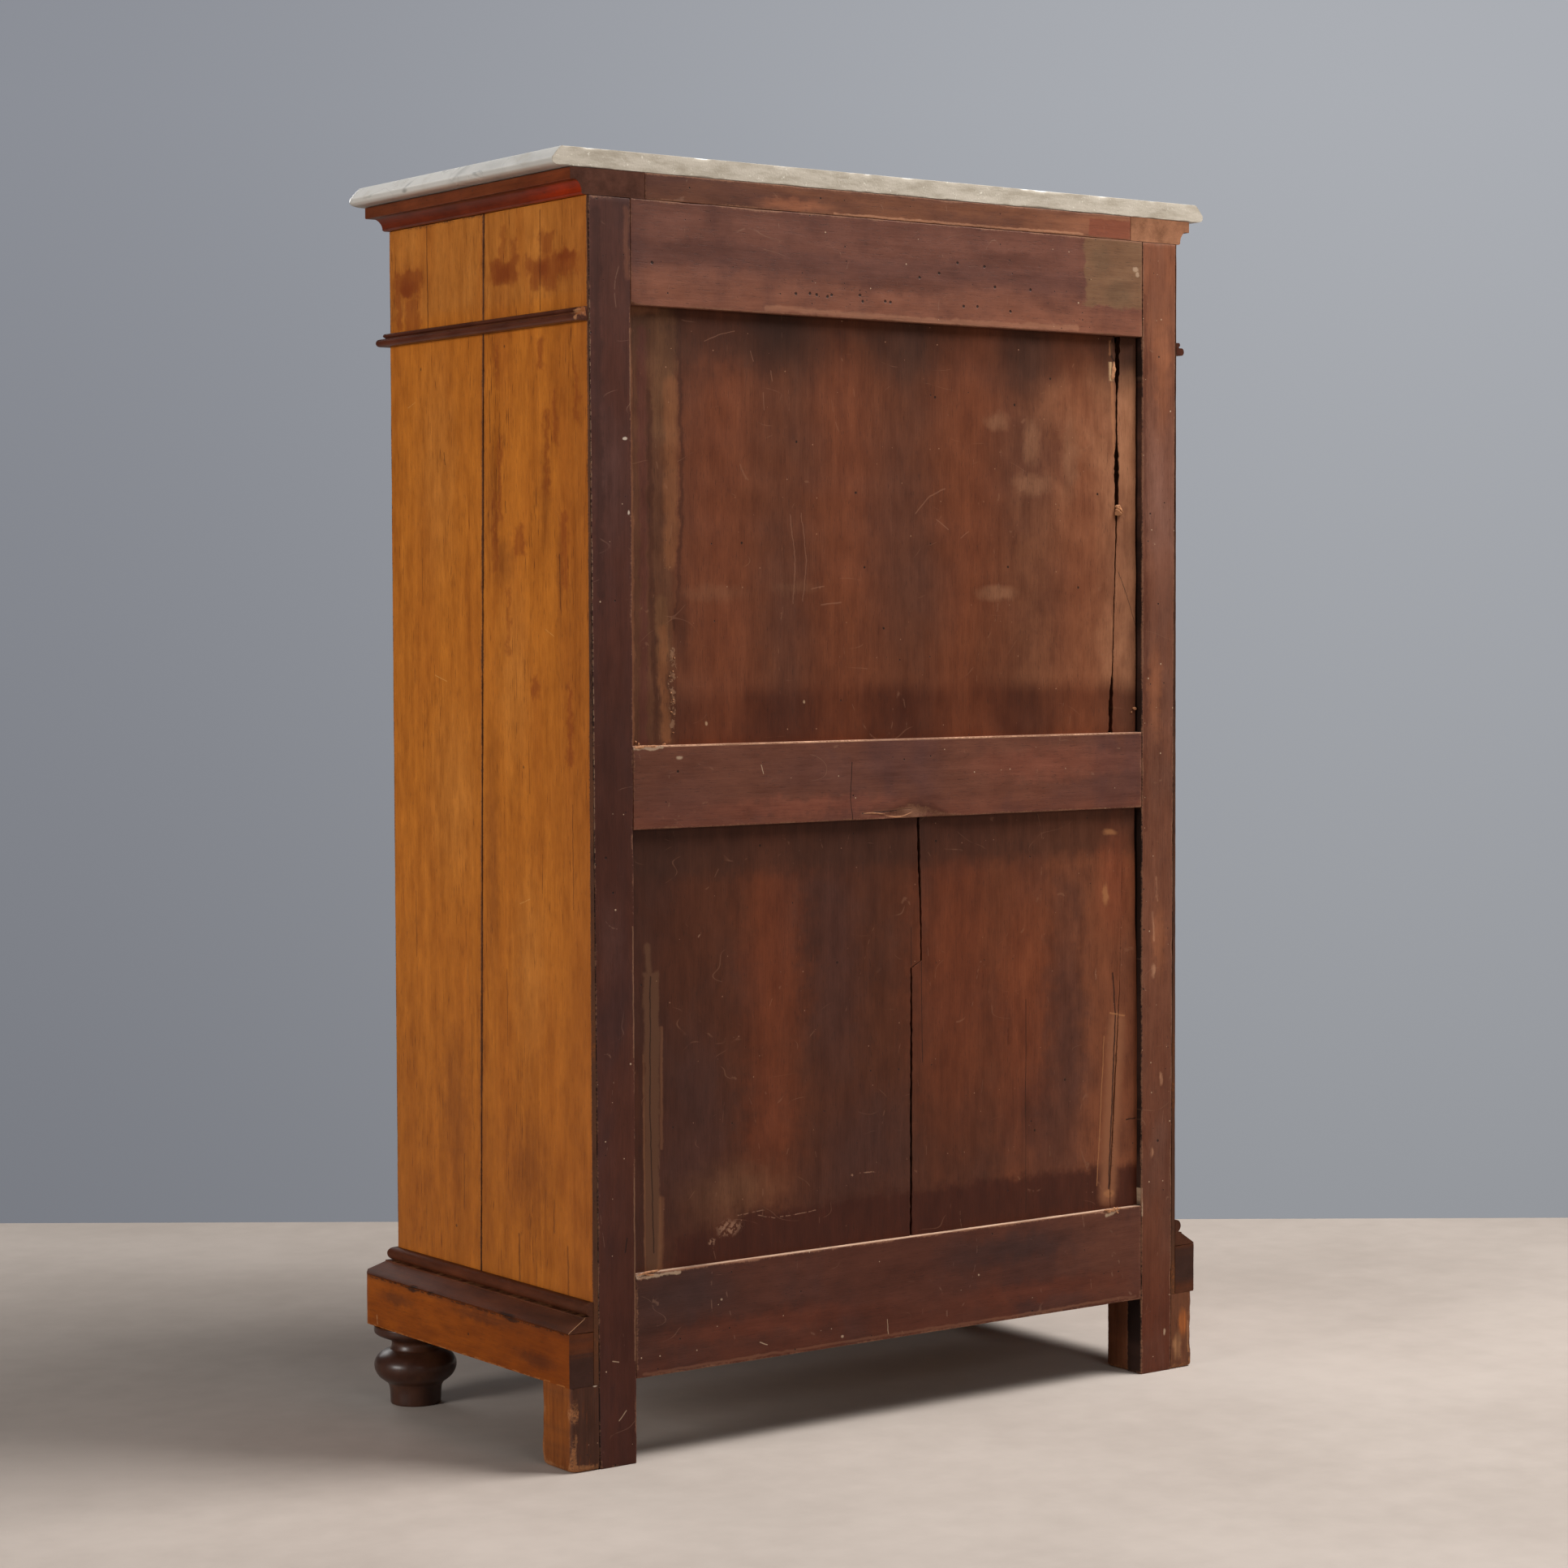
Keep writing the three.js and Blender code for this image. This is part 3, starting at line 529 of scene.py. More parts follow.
def maskOf(graph, flat, jitter, shapes):
    # The greatest of the masks of groups of shapes. A group is its kind, its softness (or a
    # line's width), how ragged it is, and its places: an oval's centre and half-sizes, a
    # box's left, right, low and high, and a line's points one after another.
    total = None
    for kind, soft, ragged, *places in shapes:
        for place in places:
            if kind == "ovals":
                facts = [{"Centre": (*place[:2], 0), "Size": (*place[2:], 1e6), "Soft": soft}]
            elif kind == "boxes":
                (left, right), (low, high) = sorted(place[:2]), place[2:]
                facts = [{"Low": (left, low, 0), "High": (right, high, 0), "Soft": soft}]
            else:
                points = [(*point, 0) for point in zip(place[::2], place[1::2])]
                facts = [{"Start": start, "End": end, "Width": soft}
                         for start, end in zip(points, points[1:])]
            for fact in facts:
                fact.update({"Vector": flat, "Jitter": jitter, "Ragged": ragged})
                mask = graph.group(effects[kind], fact)[0]
                total = mask if total is None else graph.math("MAXIMUM", total, mask)
    return total


# Axes of the object that run across, through and along the grain, and those of a face's marks
grainOrder = {"x": (2, 1, 0), "y": (0, 2, 1), "z": (0, 1, 2)}
flatOrder = {"back": (0, 2), "side": (1, 2), "top": (0, 1)}


def woodMaterial(name, look):
    # Tone: a base colour changed by fades, clouds, bands and stains, then shaded by
    # the grain. Marks, holes and worn arrises lie over it.
    material, graph, shader = newMaterial(name)
    place = graph.place()
    axes = graph.split(place)
    shift = (37.0, 11.0, 213.0) * graph.attribute("shift")
    board = graph.join(*(axes[index] for index in grainOrder[look["grain"]])) + shift
    grain = graph.group(effects["grain"], {"Vector": board})
    u, v = (axes[index] for index in flatOrder[look["seen"]])
    flat = graph.join(u, v)
    jitter = graph.noise(flat + shift, 0.06, 5, 0.6, colour=True)
    jitter = (jitter - (0.5, 0.5, 0.5)) * 3.0 * (1.0, 1.0, 0.0)
    cloud = graph.noise((flat + shift) * look.get("cloudSize", (0.009, 0.006, 1)), 1.0, 5, 0.6, 0.4)
    tone = look["base"]
    for axis, start, end, colour, amount in look.get("fades", ()):
        along = {"u": u, "v": v, "x": axes[0], "y": axes[1], "z": axes[2]}[axis]
        wavy = along + (cloud - 0.5) * abs(end - start)
        tone = graph.mix(graph.smooth(wavy, start, end, 0.0, amount), tone, colour)
    if "cloud" in look:
        tone = graph.mix(graph.smooth(cloud, 0.42, 0.72, 0.0, look["cloud"][1]), tone, look["cloud"][0])
    if "bands" in look:
        peak, period, colour, amount = look["bands"]
        bent = u + (cloud - 0.5) * 60.0
        turn = (bent - peak) * (2 * math.pi / period)
        wave = graph.stretch(graph.math("COSINE", turn), -1.0, 1.0, 0.0, amount)
        tone = graph.mix(wave * graph.smooth(cloud, 0.25, 0.6, 0.5, 1.0), tone, colour)
    for stain in look.get("stains", ()):
        mask = maskOf(graph, flat, jitter, stain["shapes"])
        tone = graph.mix(mask * stain["amount"], tone, stain["colour"])
    figure, streak, fibre, mottle = look.get("strength", (0.5, 0.35, 0.25, 0.4))
    level = (grain["Figure"] - 0.5) * (figure * 2)
    for part, share in (("Streak", streak), ("Fibre", fibre), ("Mottle", mottle)):
        level = (grain[part] - 0.5) * (share * 2) + level
    level = graph.stretch(level, -0.5, 0.5)
    dark, light = look.get("shades", ((0.5, 0.42, 0.36, 1), (1.5, 1.55, 1.6, 1)))
    tone = graph.mix(1.0, tone, graph.mix(level, dark, light), blend="MULTIPLY")
    if "tint" in look:
        tone = graph.mix(1.0, tone, (*look["tint"], 1), blend="MULTIPLY")
    tone = graph.mix(grain["Pores"] * look.get("pores", 0.35), tone, (0.012, 0.006, 0.004, 1))
    if "flecks" in look:
        tone = graph.mix(grain["Flecks"] * look["flecks"][1], tone, look["flecks"][0])
    if "scratches" in look:
        line = graph.group(effects["scratches"], {"Vector": flat + shift})[0]
        tone = graph.mix(line * look["scratches"][1], tone, look["scratches"][0])
    rough = graph.blendValue(cloud, *look.get("rough", (0.5, 0.7)))
    rough = (grain["Streak"] - 0.5) * 0.2 + rough
    relief = look.get("relief", 0.05)
    height = grain["Streak"] * (relief * 1.6) + grain["Fibre"] * (relief * 0.8)
    height = grain["Pores"] * -relief + height
    for mark in look.get("marks", ()):
        mask = maskOf(graph, flat, jitter, mark["shapes"])
        if mark.get("crumbly"):
            mask = mask * graph.smooth(graph.noise(flat, mark["crumbly"], 3, 0.6), 0.46, 0.54)
        if mark.get("grainy"):
            half = mark["grainy"] / 2
            mask = mask * graph.smooth(grain["Streak"], 0.5 - half, 0.5 + half / 2)
        tone = graph.mix(mask * mark.get("amount", 1.0), tone, mark["colour"])
        if "rough" in mark:
            rough = graph.blendValue(mask, rough, mark["rough"])
        if "rise" in mark:
            height = mask * mark["rise"] + height
    for spacing, radius, density, colour, rise, *shapes in look.get("holes", ()):
        thick = maskOf(graph, flat, jitter, shapes) * density if shapes else density
        facts = {"Vector": flat, "Spacing": spacing, "Radius": radius, "Density": thick}
        hole = graph.group(effects["holes"], facts)[0]
        tone = graph.mix(hole, tone, colour)
        height = hole * rise + height
    wornColour, wornAmount = look.get("worn", ((120, 85, 62), 0.5))
    facts = {"Vector": place, "Wear": graph.attribute("wear"), "Amount": wornAmount}
    worn = graph.group(effects["wear"], facts)[0]
    tone = graph.mix(worn * 0.85, tone, wornColour)
    rough = graph.blendValue(worn, rough, 0.7)
    height = worn * -0.12 + height
    finishMaterial(graph, shader, tone, rough, height)
    graph.send(shader.inputs, {"Specular IOR Level": look.get("specular", 0.4),
                               "Coat Weight": look.get("coat", 0.0),
                               "Coat Roughness": look.get("coatRough", 0.25)})
    return material


# Back: old reddish-brown stain on a plain wood, worn pale along the arrises
black = (20, 13, 10)
paleDust = (176, 148, 122)
frameBase = {
    "seen": "back", "tint": (1.05, 0.93, 0.82), "base": (96, 60, 50), "cloud": ((74, 46, 42), 0.6),
    "strength": (0.35, 0.3, 0.3, 0.5), "scratches": ((140, 104, 84), 0.35), "rough": (0.5, 0.68),
    "worn": ((128, 88, 66), 0.3), "relief": 0.06, "pores": 0.3, "specular": 0.18,
    "shades": ((0.6, 0.5, 0.45, 1), (1.35, 1.38, 1.4, 1))}
wormHolesTop = [
    (157, 1353), (136, 1354), (126, 1353), (110, 1352), (104, 1354), (62, 1356), (58, 1349), (24, 1351),
    (16, 1350), (-29, 1382), (-59, 1389), (-88, 1403), (-97, 1351), (-119, 1352), (-130, 1401),
    (-147, 1377), (-172, 1349), (-204, 1377), (360, 1377)]
topRailWood = woodMaterial("top rail wood", {
    **frameBase, "grain": "x", "base": (106, 70, 60),
    "fades": [("u", 330, 420, (88, 56, 48), 0.6), ("v", 1395, 1335, (134, 88, 68), 0.55),
        ("v", 1425, 1448, (92, 58, 48), 0.5)],
    "stains": [
        mark((76, 50, 48), 0.4,
            ("lines", 22, 12, (395, 1385, 250, 1392, 60, 1384, -120, 1392, -300, 1385))),
        mark((115, 90, 68), 0.85, ("boxes", 3, 9, (-294, -392, 1362, 1452))),
        mark((98, 78, 60), 0.6, ("ovals", 0.5, 8, (-350, 1380, 22, 16), (-320, 1420, 16, 18))),
        mark((82, 50, 42), 0.6,
            ("ovals", 0.6, 8, (300, 1395, 60, 10), (10, 1370, 90, 9), (-180, 1412, 70, 8)))],
    "marks": [
        mark((170, 120, 92), 0.5, ("lines", 5, 3, (200, 1334, -60, 1331, -280, 1334)), grainy=0.5),
        mark(paleDust, 0.7, ("ovals", 0.4, 3, (-378, 1412, 5, 3)),
            ("ovals", 0.4, 2, (-381, 1406, 3, 3)), rise=0.1),
        mark(black, 0.85, ("ovals", 0.3, 1, *[(*place, 1.9, 1.7) for place in wormHolesTop]),
            rise=-0.6)],
    "holes": [(9, 0.75, 0.5, black, -0.4, ("ovals", 0.5, 5, (120, 1352, 70, 16), (-285, 1343, 40, 14))),
        (17, 0.8, 0.12, black, -0.4, ("boxes", 1, 0, (-390, 390, 1330, 1446))),
        (31, 1, 0.1, paleDust, 0.05)]})
middleRailWood = woodMaterial("middle rail wood", {
    **frameBase, "grain": "x", "base": (100, 64, 52),
    "fades": [("u", 250, 420, (92, 57, 43), 0.7), ("v", 770, 730, (108, 62, 48), 0.4),
        ("v", 824.3, 824.8, (206, 170, 146), 0.85)], "cloud": ((80, 54, 54), 0.7),
    "stains": [
        mark((76, 52, 54), 0.25, ("ovals", 0.9, 14, (330, 760, 50, 26), (110, 790, 70, 22)),
            ("ovals", 0.9, 12, (-300, 755, 50, 16))),
        mark((122, 74, 60), 0.6, ("ovals", 0.7, 14, (-230, 790, 110, 18), (140, 750, 120, 9)))],
    "marks": [
        mark((122, 82, 64), 0.5, ("lines", 4, 3, (60, 737, 10, 740, -40, 738)), grainy=0.6, rise=-0.1),
        mark(paleDust, 0.8, ("lines", 2.4, 3, (389, 823, 350, 824)),
            ("ovals", 0.5, 2, (326, 812, 4, 2)), ("lines", 0.8, 1, (210, 800, 206, 790)), rise=0.1),
        mark(black, 0.8, ("lines", 0.9, 1, (76, 800, 78, 756, 75, 730)),
            ("lines", 0.8, 1.5, (60, 738, -16, 741)), ("ovals", 0.3, 1, (328, 796, 1.6, 1.6)),
            rise=-0.5)], "holes": [(40, 0.9, 0.14, black, -0.4), (27, 0.9, 0.1, paleDust, 0.05)]})
bottomRailWood = woodMaterial("bottom rail wood", {
    **frameBase, "grain": "x", "base": (80, 46, 36),
    "fades": [("u", 120, 420, (66, 41, 34), 0.8), ("u", -130, -380, (98, 62, 50), 0.75),
        ("v", 150, 98, (84, 44, 30), 0.6), ("v", 218.1, 218.5, (212, 188, 170), 0.85)],
    "cloud": ((66, 44, 42), 0.6),
    "stains": [mark((96, 50, 34), 0.6, ("ovals", 0.7, 12, (200, 140, 140, 12), (-220, 130, 120, 12))),
        mark((58, 42, 42), 0.7, ("ovals", 0.9, 16, (330, 190, 60, 24)),
            ("ovals", 0.9, 14, (-180, 186, 90, 16)))],
    "marks": [
        mark(
            paleDust, 0.8, ("lines", 3, 4, (388, 216, 352, 214, 330, 217)),
            ("lines", 4, 4, (-330, 214, -350, 217)),
            ("ovals", 0.5, 1, (270, 176, 1.4, 1.2), (-120, 160, 1.3, 1.2), (92, 110, 1.8, 1.6)),
            ("lines", 0.9, 1, (214, 118, 204, 114)), ("lines", 0.7, 1, (24, 122, 22, 104)), rise=0.1),
        mark((126, 84, 62), 0.6, ("lines", 2.5, 2, (380, 102, 100, 103, -200, 102, -380, 103)),
            grainy=0.6)], "holes": [(34, 1, 0.16, black, -0.4), (24, 0.8, 0.1, paleDust, 0.05)]})
stileBase = {**frameBase, "grain": "z", "cloudSize": (0.012, 0.004, 1)}
rightStileWood = woodMaterial("right stile wood", {
    **stileBase, "tint": (1.15, 0.86, 0.72), "base": (72, 44, 35), "worn": ((128, 88, 66), 0.2),
    "fades": [("v", 1180, 1420, (70, 47, 42), 0.85), ("v", 420, 80, (62, 34, 26), 0.7)],
    "cloud": ((56, 40, 42), 0.7),
    "stains": [
        mark((84, 64, 62), 0.5, ("ovals", 0.8, 10, (418, 1130, 24, 60), (424, 610, 14, 40))),
        mark((52, 30, 24), 0.55, ("ovals", 0.9, 12, (418, 760, 34, 120))),
        mark((104, 74, 60), 0.6, ("lines", 6, 4, (396, 1434, 394, 1360))),
        mark((54, 34, 30), 0.6, ("lines", 8, 6, (436, 1430, 434, 1000)))],
    "marks": [
        mark((196, 178, 160), 0.9, ("ovals", 0.3, 1.5, (398.6, 1176, 3.2, 1.5)),
            ("ovals", 0.4, 1.2, (394, 1092, 1.5, 2.4)), rise=0.15),
        mark((140, 104, 78), 0.7,
            ("lines", 1.2, 1, (391.5, 620, 391.2, 470), (391.3, 1300, 391.5, 1210)),
            ("lines", 1.4, 1, (391.4, 330, 391.5, 120)), grainy=0.5),
        mark((190, 152, 122), 0.7,
            ("lines", 1.1, 0.8, (445.6, 1330, 442.7, 690), (441.9, 330, 441.4, 180)), crumbly=0.16),
        mark(black, 0.75, ("lines", 1.3, 0.4, (440.4, 0, 446.7, 1447)),
            ("ovals", 0.3, 1, (428, 700, 1.5, 1.5)), ("lines", 1.2, 1, (405, 246, 402, 262)),
            rise=-0.4),
        mark(paleDust, 0.7, ("lines", 0.9, 1, (422.5, 123, 414, 121), (404, 63, 414, 53)), rise=0.05)],
    "holes": [(30, 1, 0.16, black, -0.4), (22, 1, 0.14, paleDust, 0.05)]})
leftStileWood = woodMaterial("left stile wood", {
    **stileBase, "tint": (1.14, 0.98, 0.82), "base": (106, 70, 56),
    "fades": [("v", 1180, 1420, (126, 82, 60), 0.8), ("v", 560, 260, (90, 52, 37), 0.7),
        # the stile's inner edge face beside the panel, x above -390.8, is painted near black: painted shade
        # in the recess
        ("v", 180, 40, (82, 41, 26), 0.8), ("x", -391.5, -390.8, (20, 12, 10), 0.96)],
    "cloud": ((92, 68, 62), 0.6),
    "stains": [
        mark((78, 44, 32), 0.5, ("lines", 5, 5, (-394, 1380, -396, 700))),
        mark((130, 98, 90), 0.55, ("ovals", 0.9, 10, (-424, 1130, 26, 80))),
        mark((146, 98, 72), 0.5,
            ("ovals", 0.7, 10, (-424, 1290, 12, 70), (-412, 880, 10, 50), (-420, 560, 10, 40)))],
    "marks": [
        mark(
            (176, 128, 98), 0.7, ("lines", 2.5, 3, (-408, 596, -412, 560)),
            ("lines", 2, 3, (-416, 640, -417, 610)),
            ("ovals", 0.4, 4, (-409, 520, 4, 9), (-424, 380, 3, 8)),
            ("ovals", 0.4, 3, (-408, 286, 3, 6)), rise=-0.1, grainy=0.3),
        mark(paleDust, 0.8, ("lines", 0.9, 1, (-446, 97, -438, 98)),
            ("ovals", 0.4, 2, (-430, 50, 2, 4)), ("lines", 1.6, 1.5, (-391, 240, -391.5, 205)),
            rise=0.1),
        mark(black, 0.8, ("lines", 1.2, 0.4, (-440.4, 0, -446.7, 1447)),
            ("ovals", 0.3, 1, (-418, 300, 1.6, 1.6), (-404, 1104, 1.4, 1.4)), rise=-0.4)],
    "holes": [(26, 1, 0.2, black, -0.4), (19, 1, 0.14, paleDust, 0.05)]})
wormHolesUpper = [(-186, 1235), (-322, 1128), (-175, 1035), (-100, 1333), (-174, 1333), (62, 1122),
    (49, 1033), (-244, 1270), (150, 1180), (-60, 1240), (230, 1060), (-290, 1010), (20, 960)]
panelBase = {"seen": "back", "grain": "z", "scratches": ((140, 98, 74), 0.3), "specular": 0.2,
             "worn": ((88, 52, 34), 0.15)}
upperPanelWood = woodMaterial("upper panel wood", {
    **panelBase, "tint": (1.04, 0.88, 0.73), "base": (94, 56, 38), "strength": (0.22, 0.2, 0.32, 0.6),
    "cloud": ((84, 54, 42), 0.5), "rough": (0.46, 0.62),
    "shades": ((0.62, 0.52, 0.46, 1), (1.34, 1.38, 1.4, 1)),
    "fades": [
        ("u", -150, -390, (156, 116, 92), 0.85), ("u", 300, 400, (86, 53, 40), 0.8),
        # the fade that darkens the panel from 1226 up to the top rail is painted shade under the rail
        ("v", 905, 872, (66, 31, 17), 0.85), ("v", 1226, 1304, (48, 28, 18), 0.95),
        # the edge faces of the strips, from y 231.6 to 225.6, are painted near black: painted shade inside
        # the splits and beside the frame
        ("y", 232.4, 231.6, (16, 9, 7), 0.95), ("y", 226.4, 225.6, (84, 52, 38), 0.95)],
    "bands": (260, 184, (118, 66, 40), 0.5),
    "stains": [
        mark((90, 61, 43), 0.7, ("boxes", 8, 8, (326, 392, 815, 1342))),
        mark((106, 76, 53), 0.7, ("lines", 26, 7, (340, 1310, 338, 1190)),
            ("lines", 14, 6, (345, 990, 342, 930))),
        mark((122, 82, 55), 0.75, ("lines", 15, 5, (330, 1240, 329, 1160, 331, 1040)),
            ("lines", 9, 6, (342, 960, 341, 900, 337, 835))),
        mark((66, 36, 24), 0.65, ("lines", 6, 5, (360, 1230, 357, 1000, 351, 830)),
            ("ovals", 0.8, 6, (315, 965, 8, 40)),
            ("lines", 4, 5, (317, 1290, 314, 1160, 317, 1040, 325, 960))),
        mark((86, 48, 42), 0.7, ("lines", 9, 6, (370, 1300, 368, 1000, 370, 830))),
        mark((122, 84, 62), 0.75, ("lines", 4, 3, (386, 1318, 384, 1000, 385, 830)),
            ("boxes", 4, 6, (346, 396, 1318, 1340))),
        # a dark oval under the top rail: more painted shade from the rail
        mark((52, 31, 23), 0.6, ("ovals", 0.9, 20, (230, 1300, 110, 34))),
        mark((80, 52, 44), 0.36,
            ("ovals", 0.8, 20, (0, 1080, 50, 110), (165, 980, 30, 110), (-210, 1160, 50, 70))),
        mark(
            (134, 100, 80), 0.6, ("ovals", 0.5, 6, (-213, 1189, 13, 25)),
            ("ovals", 0.6, 8, (-216, 1137, 28, 12)), ("ovals", 0.5, 5, (-156, 1003, 28, 9)),
            ("ovals", 0.8, 8, (-157, 1213, 16, 10)), ("ovals", 0.8, 10, (-275, 1170, 12, 40))),
        mark((120, 88, 70), 0.3, ("ovals", 0.8, 8, (268, 1002, 40, 9), (150, 1008, 30, 7)))],
    "marks": [
        mark(
            (150, 106, 82), 0.36,
            ("lines", 1.2, 1, (-29, 1099, -50, 1119, -75, 1130), (114, 988, 85, 991)),
            ("lines", 0.8, 1, (282, 1292, 262, 1300, 239, 1306), (216, 1284, 212, 1272),
                (-100, 1070, -112, 1078)),
            ("lines", 0.9, 1, (187, 1262, 185, 1250), (-62, 1092, -80, 1080)),
            ("lines", 0.8, 0.6, (198, 1236, 197, 1216)),
            ("lines", 1, 2, (160, 1094, 152, 1040, 156, 990)),
            ("lines", 0.9, 2, (143, 1096, 136, 1040, 141, 992)),
            ("lines", 1, 1, (128, 1007, 110, 1010))),
        mark((196, 158, 118), 0.85, ("boxes", 0.8, 1.5, (-341, -352, 1271, 1295)), grainy=0.2,
            rise=0.1),
        mark((168, 112, 74), 0.6, ("lines", 4, 2, (-347, 1268, -350, 1180), (-343, 1305, -343, 1320)),
            grainy=0.4),
        mark((150, 112, 84), 0.55, ("lines", 5, 9, (330, 940, 327, 900, 329, 842)),
            ("ovals", 0.4, 3, (388, 1000, 2, 6)), crumbly=0.11, rise=0.3),
        mark((178, 146, 114), 0.7, ("ovals", 0.4, 1.5, (140, 873, 1.6, 2), (282, 850, 1.6, 2.4))),
        mark(black, 0.9, ("ovals", 0.3, 0.8, *[(*place, 1.5, 1.5) for place in wormHolesUpper])),
        mark(black, 0.7, ("lines", 2.2, 1, (-352, 1330, -344, 1318, -345, 1302, -351, 1294)),
            ("lines", 0.8, 1, (-357, 1030, -372, 1000, -388, 960)))],
    "holes": [(46, 0.8, 0.14, black, -0.4), (21, 0.7, 0.1, (150, 108, 82), 0.03)]})
lowerPanelWood = woodMaterial("lower panel wood", {
    **panelBase, "tint": (1.06, 0.88, 0.74), "base": (80, 46, 31), "strength": (0.24, 0.2, 0.32, 0.6),
    "cloud": ((70, 46, 40), 0.6), "rough": (0.44, 0.6),
    "shades": ((0.6, 0.52, 0.46, 1), (1.32, 1.36, 1.38, 1)),
    "fades": [("u", -70, -300, (120, 75, 53), 0.85), ("u", 230, 400, (62, 34, 24), 0.85),
        # the edge faces of the strips, from y 231.6 to 225.6, are painted near black: painted shade inside
        # the splits and beside the frame
        ("y", 232.4, 231.6, (16, 9, 7), 0.95), ("y", 226.4, 225.6, (74, 44, 32), 0.95)],
    "stains": [
        mark((112, 60, 36), 0.6, ("ovals", 0.85, 20, (185, 560, 40, 150), (190, 400, 34, 100)),
            ("ovals", 0.85, 25, (-90, 540, 60, 170), (-200, 480, 50, 160))),
        mark((66, 44, 42), 0.6,
            ("ovals", 0.85, 20, (95, 560, 36, 130), (300, 380, 50, 90), (60, 330, 60, 60)),
            ("ovals", 0.85, 18, (-270, 420, 30, 180), (-250, 330, 40, 70))),
        # a dark band along the top of the panel: painted shade under the middle rail
        mark((60, 38, 30), 0.65, ("boxes", 14, 9, (-400, 400, 672, 740))),
        mark((112, 82, 62), 0.5, ("ovals", 0.9, 14, (240, 300, 60, 26))),
        mark((62, 28, 18), 0.85, ("boxes", 9, 12, (-410, 240, 205, 274), (200, 330, 205, 252))),
        mark((62, 36, 28), 0.6, ("lines", 4, 3, (376, 600, 374, 230))),
        mark((124, 68, 46), 0.5, ("ovals", 0.8, 14, (-350, 640, 24, 60)))],
    "marks": [
        mark((98, 65, 45), 0.75, ("lines", 6, 2, (366, 596, 363, 566)),
            ("boxes", 2, 4, (350, 371, 200, 566))),
        mark((136, 90, 60), 0.45, ("lines", 3, 2, (347, 500, 347, 360)),
            ("lines", 2, 1, (372, 470, 371, 215)), ("lines", 6, 2, (348, 300, 350, 215)), grainy=0.6),
        mark((44, 24, 17), 0.85, ("lines", 1.3, 1.2, (362, 560, 363, 420, 359, 240)),
            ("lines", 0.9, 0.6, (-37, 553, -38.5, 430), (-21.5, 549, -21, 596))),
        mark((138, 88, 60), 0.85, ("lines", 21, 3, (-355, 456, -348, 350, -340, 236))),
        mark((50, 27, 18), 0.95,
            ("lines", 1.8, 1.5, (-349, 520, -353, 460, -350, 400, -346, 330, -342, 244))),
        mark(
            (166, 112, 72), 0.6, ("lines", 1.8, 2, (-344, 469, -368, 464)),
            ("ovals", 0.4, 3, (-342, 238, 8, 5)), ("lines", 1.2, 1, (-334, 440, -322, 250)),
            ("ovals", 0.6, 5, (-335, 620, 4, 12)), ("ovals", 0.6, 4, (-343, 700, 10, 4)), rise=0.1),
        mark(
            (160, 120, 96), 0.6, ("lines", 1, 0.8, (58, 303, 28, 302)),
            ("ovals", 0.4, 0.6, (28, 302.5, 2.4, 1.2), (70, 301.5, 1.6, 1.6)),
            ("lines", 0.8, 1.5, (240, 271, 196, 273)),
            ("lines", 0.8, 1, (212, 268, 186, 262, 155, 263, 122, 265)),
            ("ovals", 0.6, 5, (252, 257, 15, 8)), ("ovals", 0.5, 3, (277, 243, 5, 4)),
            ("lines", 1.2, 1, (287, 612, 294, 602)), ("ovals", 0.4, 2, (-320, 520, 1.2, 7)),
            crumbly=0.2),
        mark(
            black, 0.8, ("lines", 0.8, 0.4, (-203.8, 496, -203.7, 440, -203.5, 380)),
            ("lines", 0.6, 0.4, (-203.5, 380, -203.7, 228)),
            ("ovals", 0.3, 0.6, (92, 560, 1.4, 1.4), (205, 705, 1.5, 1.5), (-60, 700, 1.5, 1.5),
                (-218, 330, 1.5, 1.5), (-268, 390, 1.4, 1.4)),
            ("lines", 1.4, 1, (-372, 330, -388, 331)))],
    "holes": [(42, 0.8, 0.16, black, -0.4), (24, 0.7, 0.1, (140, 100, 78), 0.03)]})

# Sides, mouldings and base
amber = {
    "seen": "side", "grain": "z", "base": (180, 107, 34), "strength": (0.4, 0.3, 0.35, 0.55),
    "cloudSize": (0.02, 0.0035, 1), "flecks": ((92, 44, 14), 0.85), "cloud": ((164, 92, 26), 0.6),
    "rough": (0.34, 0.5), "relief": 0.035, "specular": 0.22,
    "shades": ((0.6, 0.5, 0.36, 1), (1.3, 1.34, 1.42, 1)), "pores": 0.3, "worn": ((104, 62, 34), 0.6)}


sideStains = [
    mark((130, 62, 18), 0.4, ("ovals", 0.7, 14, (68, 1376, 36, 14)),
        ("ovals", 0.7, 16, (172, 1374, 58, 16)), ("ovals", 0.8, 14, (-150, 1380, 36, 22)),
        ("ovals", 0.9, 14, (60, 1300, 16, 60))),
    mark(
        (118, 62, 22), 0.5, ("ovals", 0.9, 12, (35, 1100, 14, 60)), ("ovals", 0.8, 14, (60, 1040, 20, 22)),
        ("ovals", 0.8, 6, (181, 1020, 5, 60)), ("ovals", 0.9, 10, (150, 1120, 10, 50), (30, 700, 12, 120)),
        ("ovals", 0.9, 20, (-60, 380, 26, 90)), ("ovals", 0.9, 24, (100, 330, 50, 50))),
    mark((184, 118, 52), 0.45,
        ("ovals", 0.9, 20, (-90, 1150, 40, 110), (-60, 760, 50, 90), (80, 900, 30, 90),
            (110, 560, 30, 90)))]
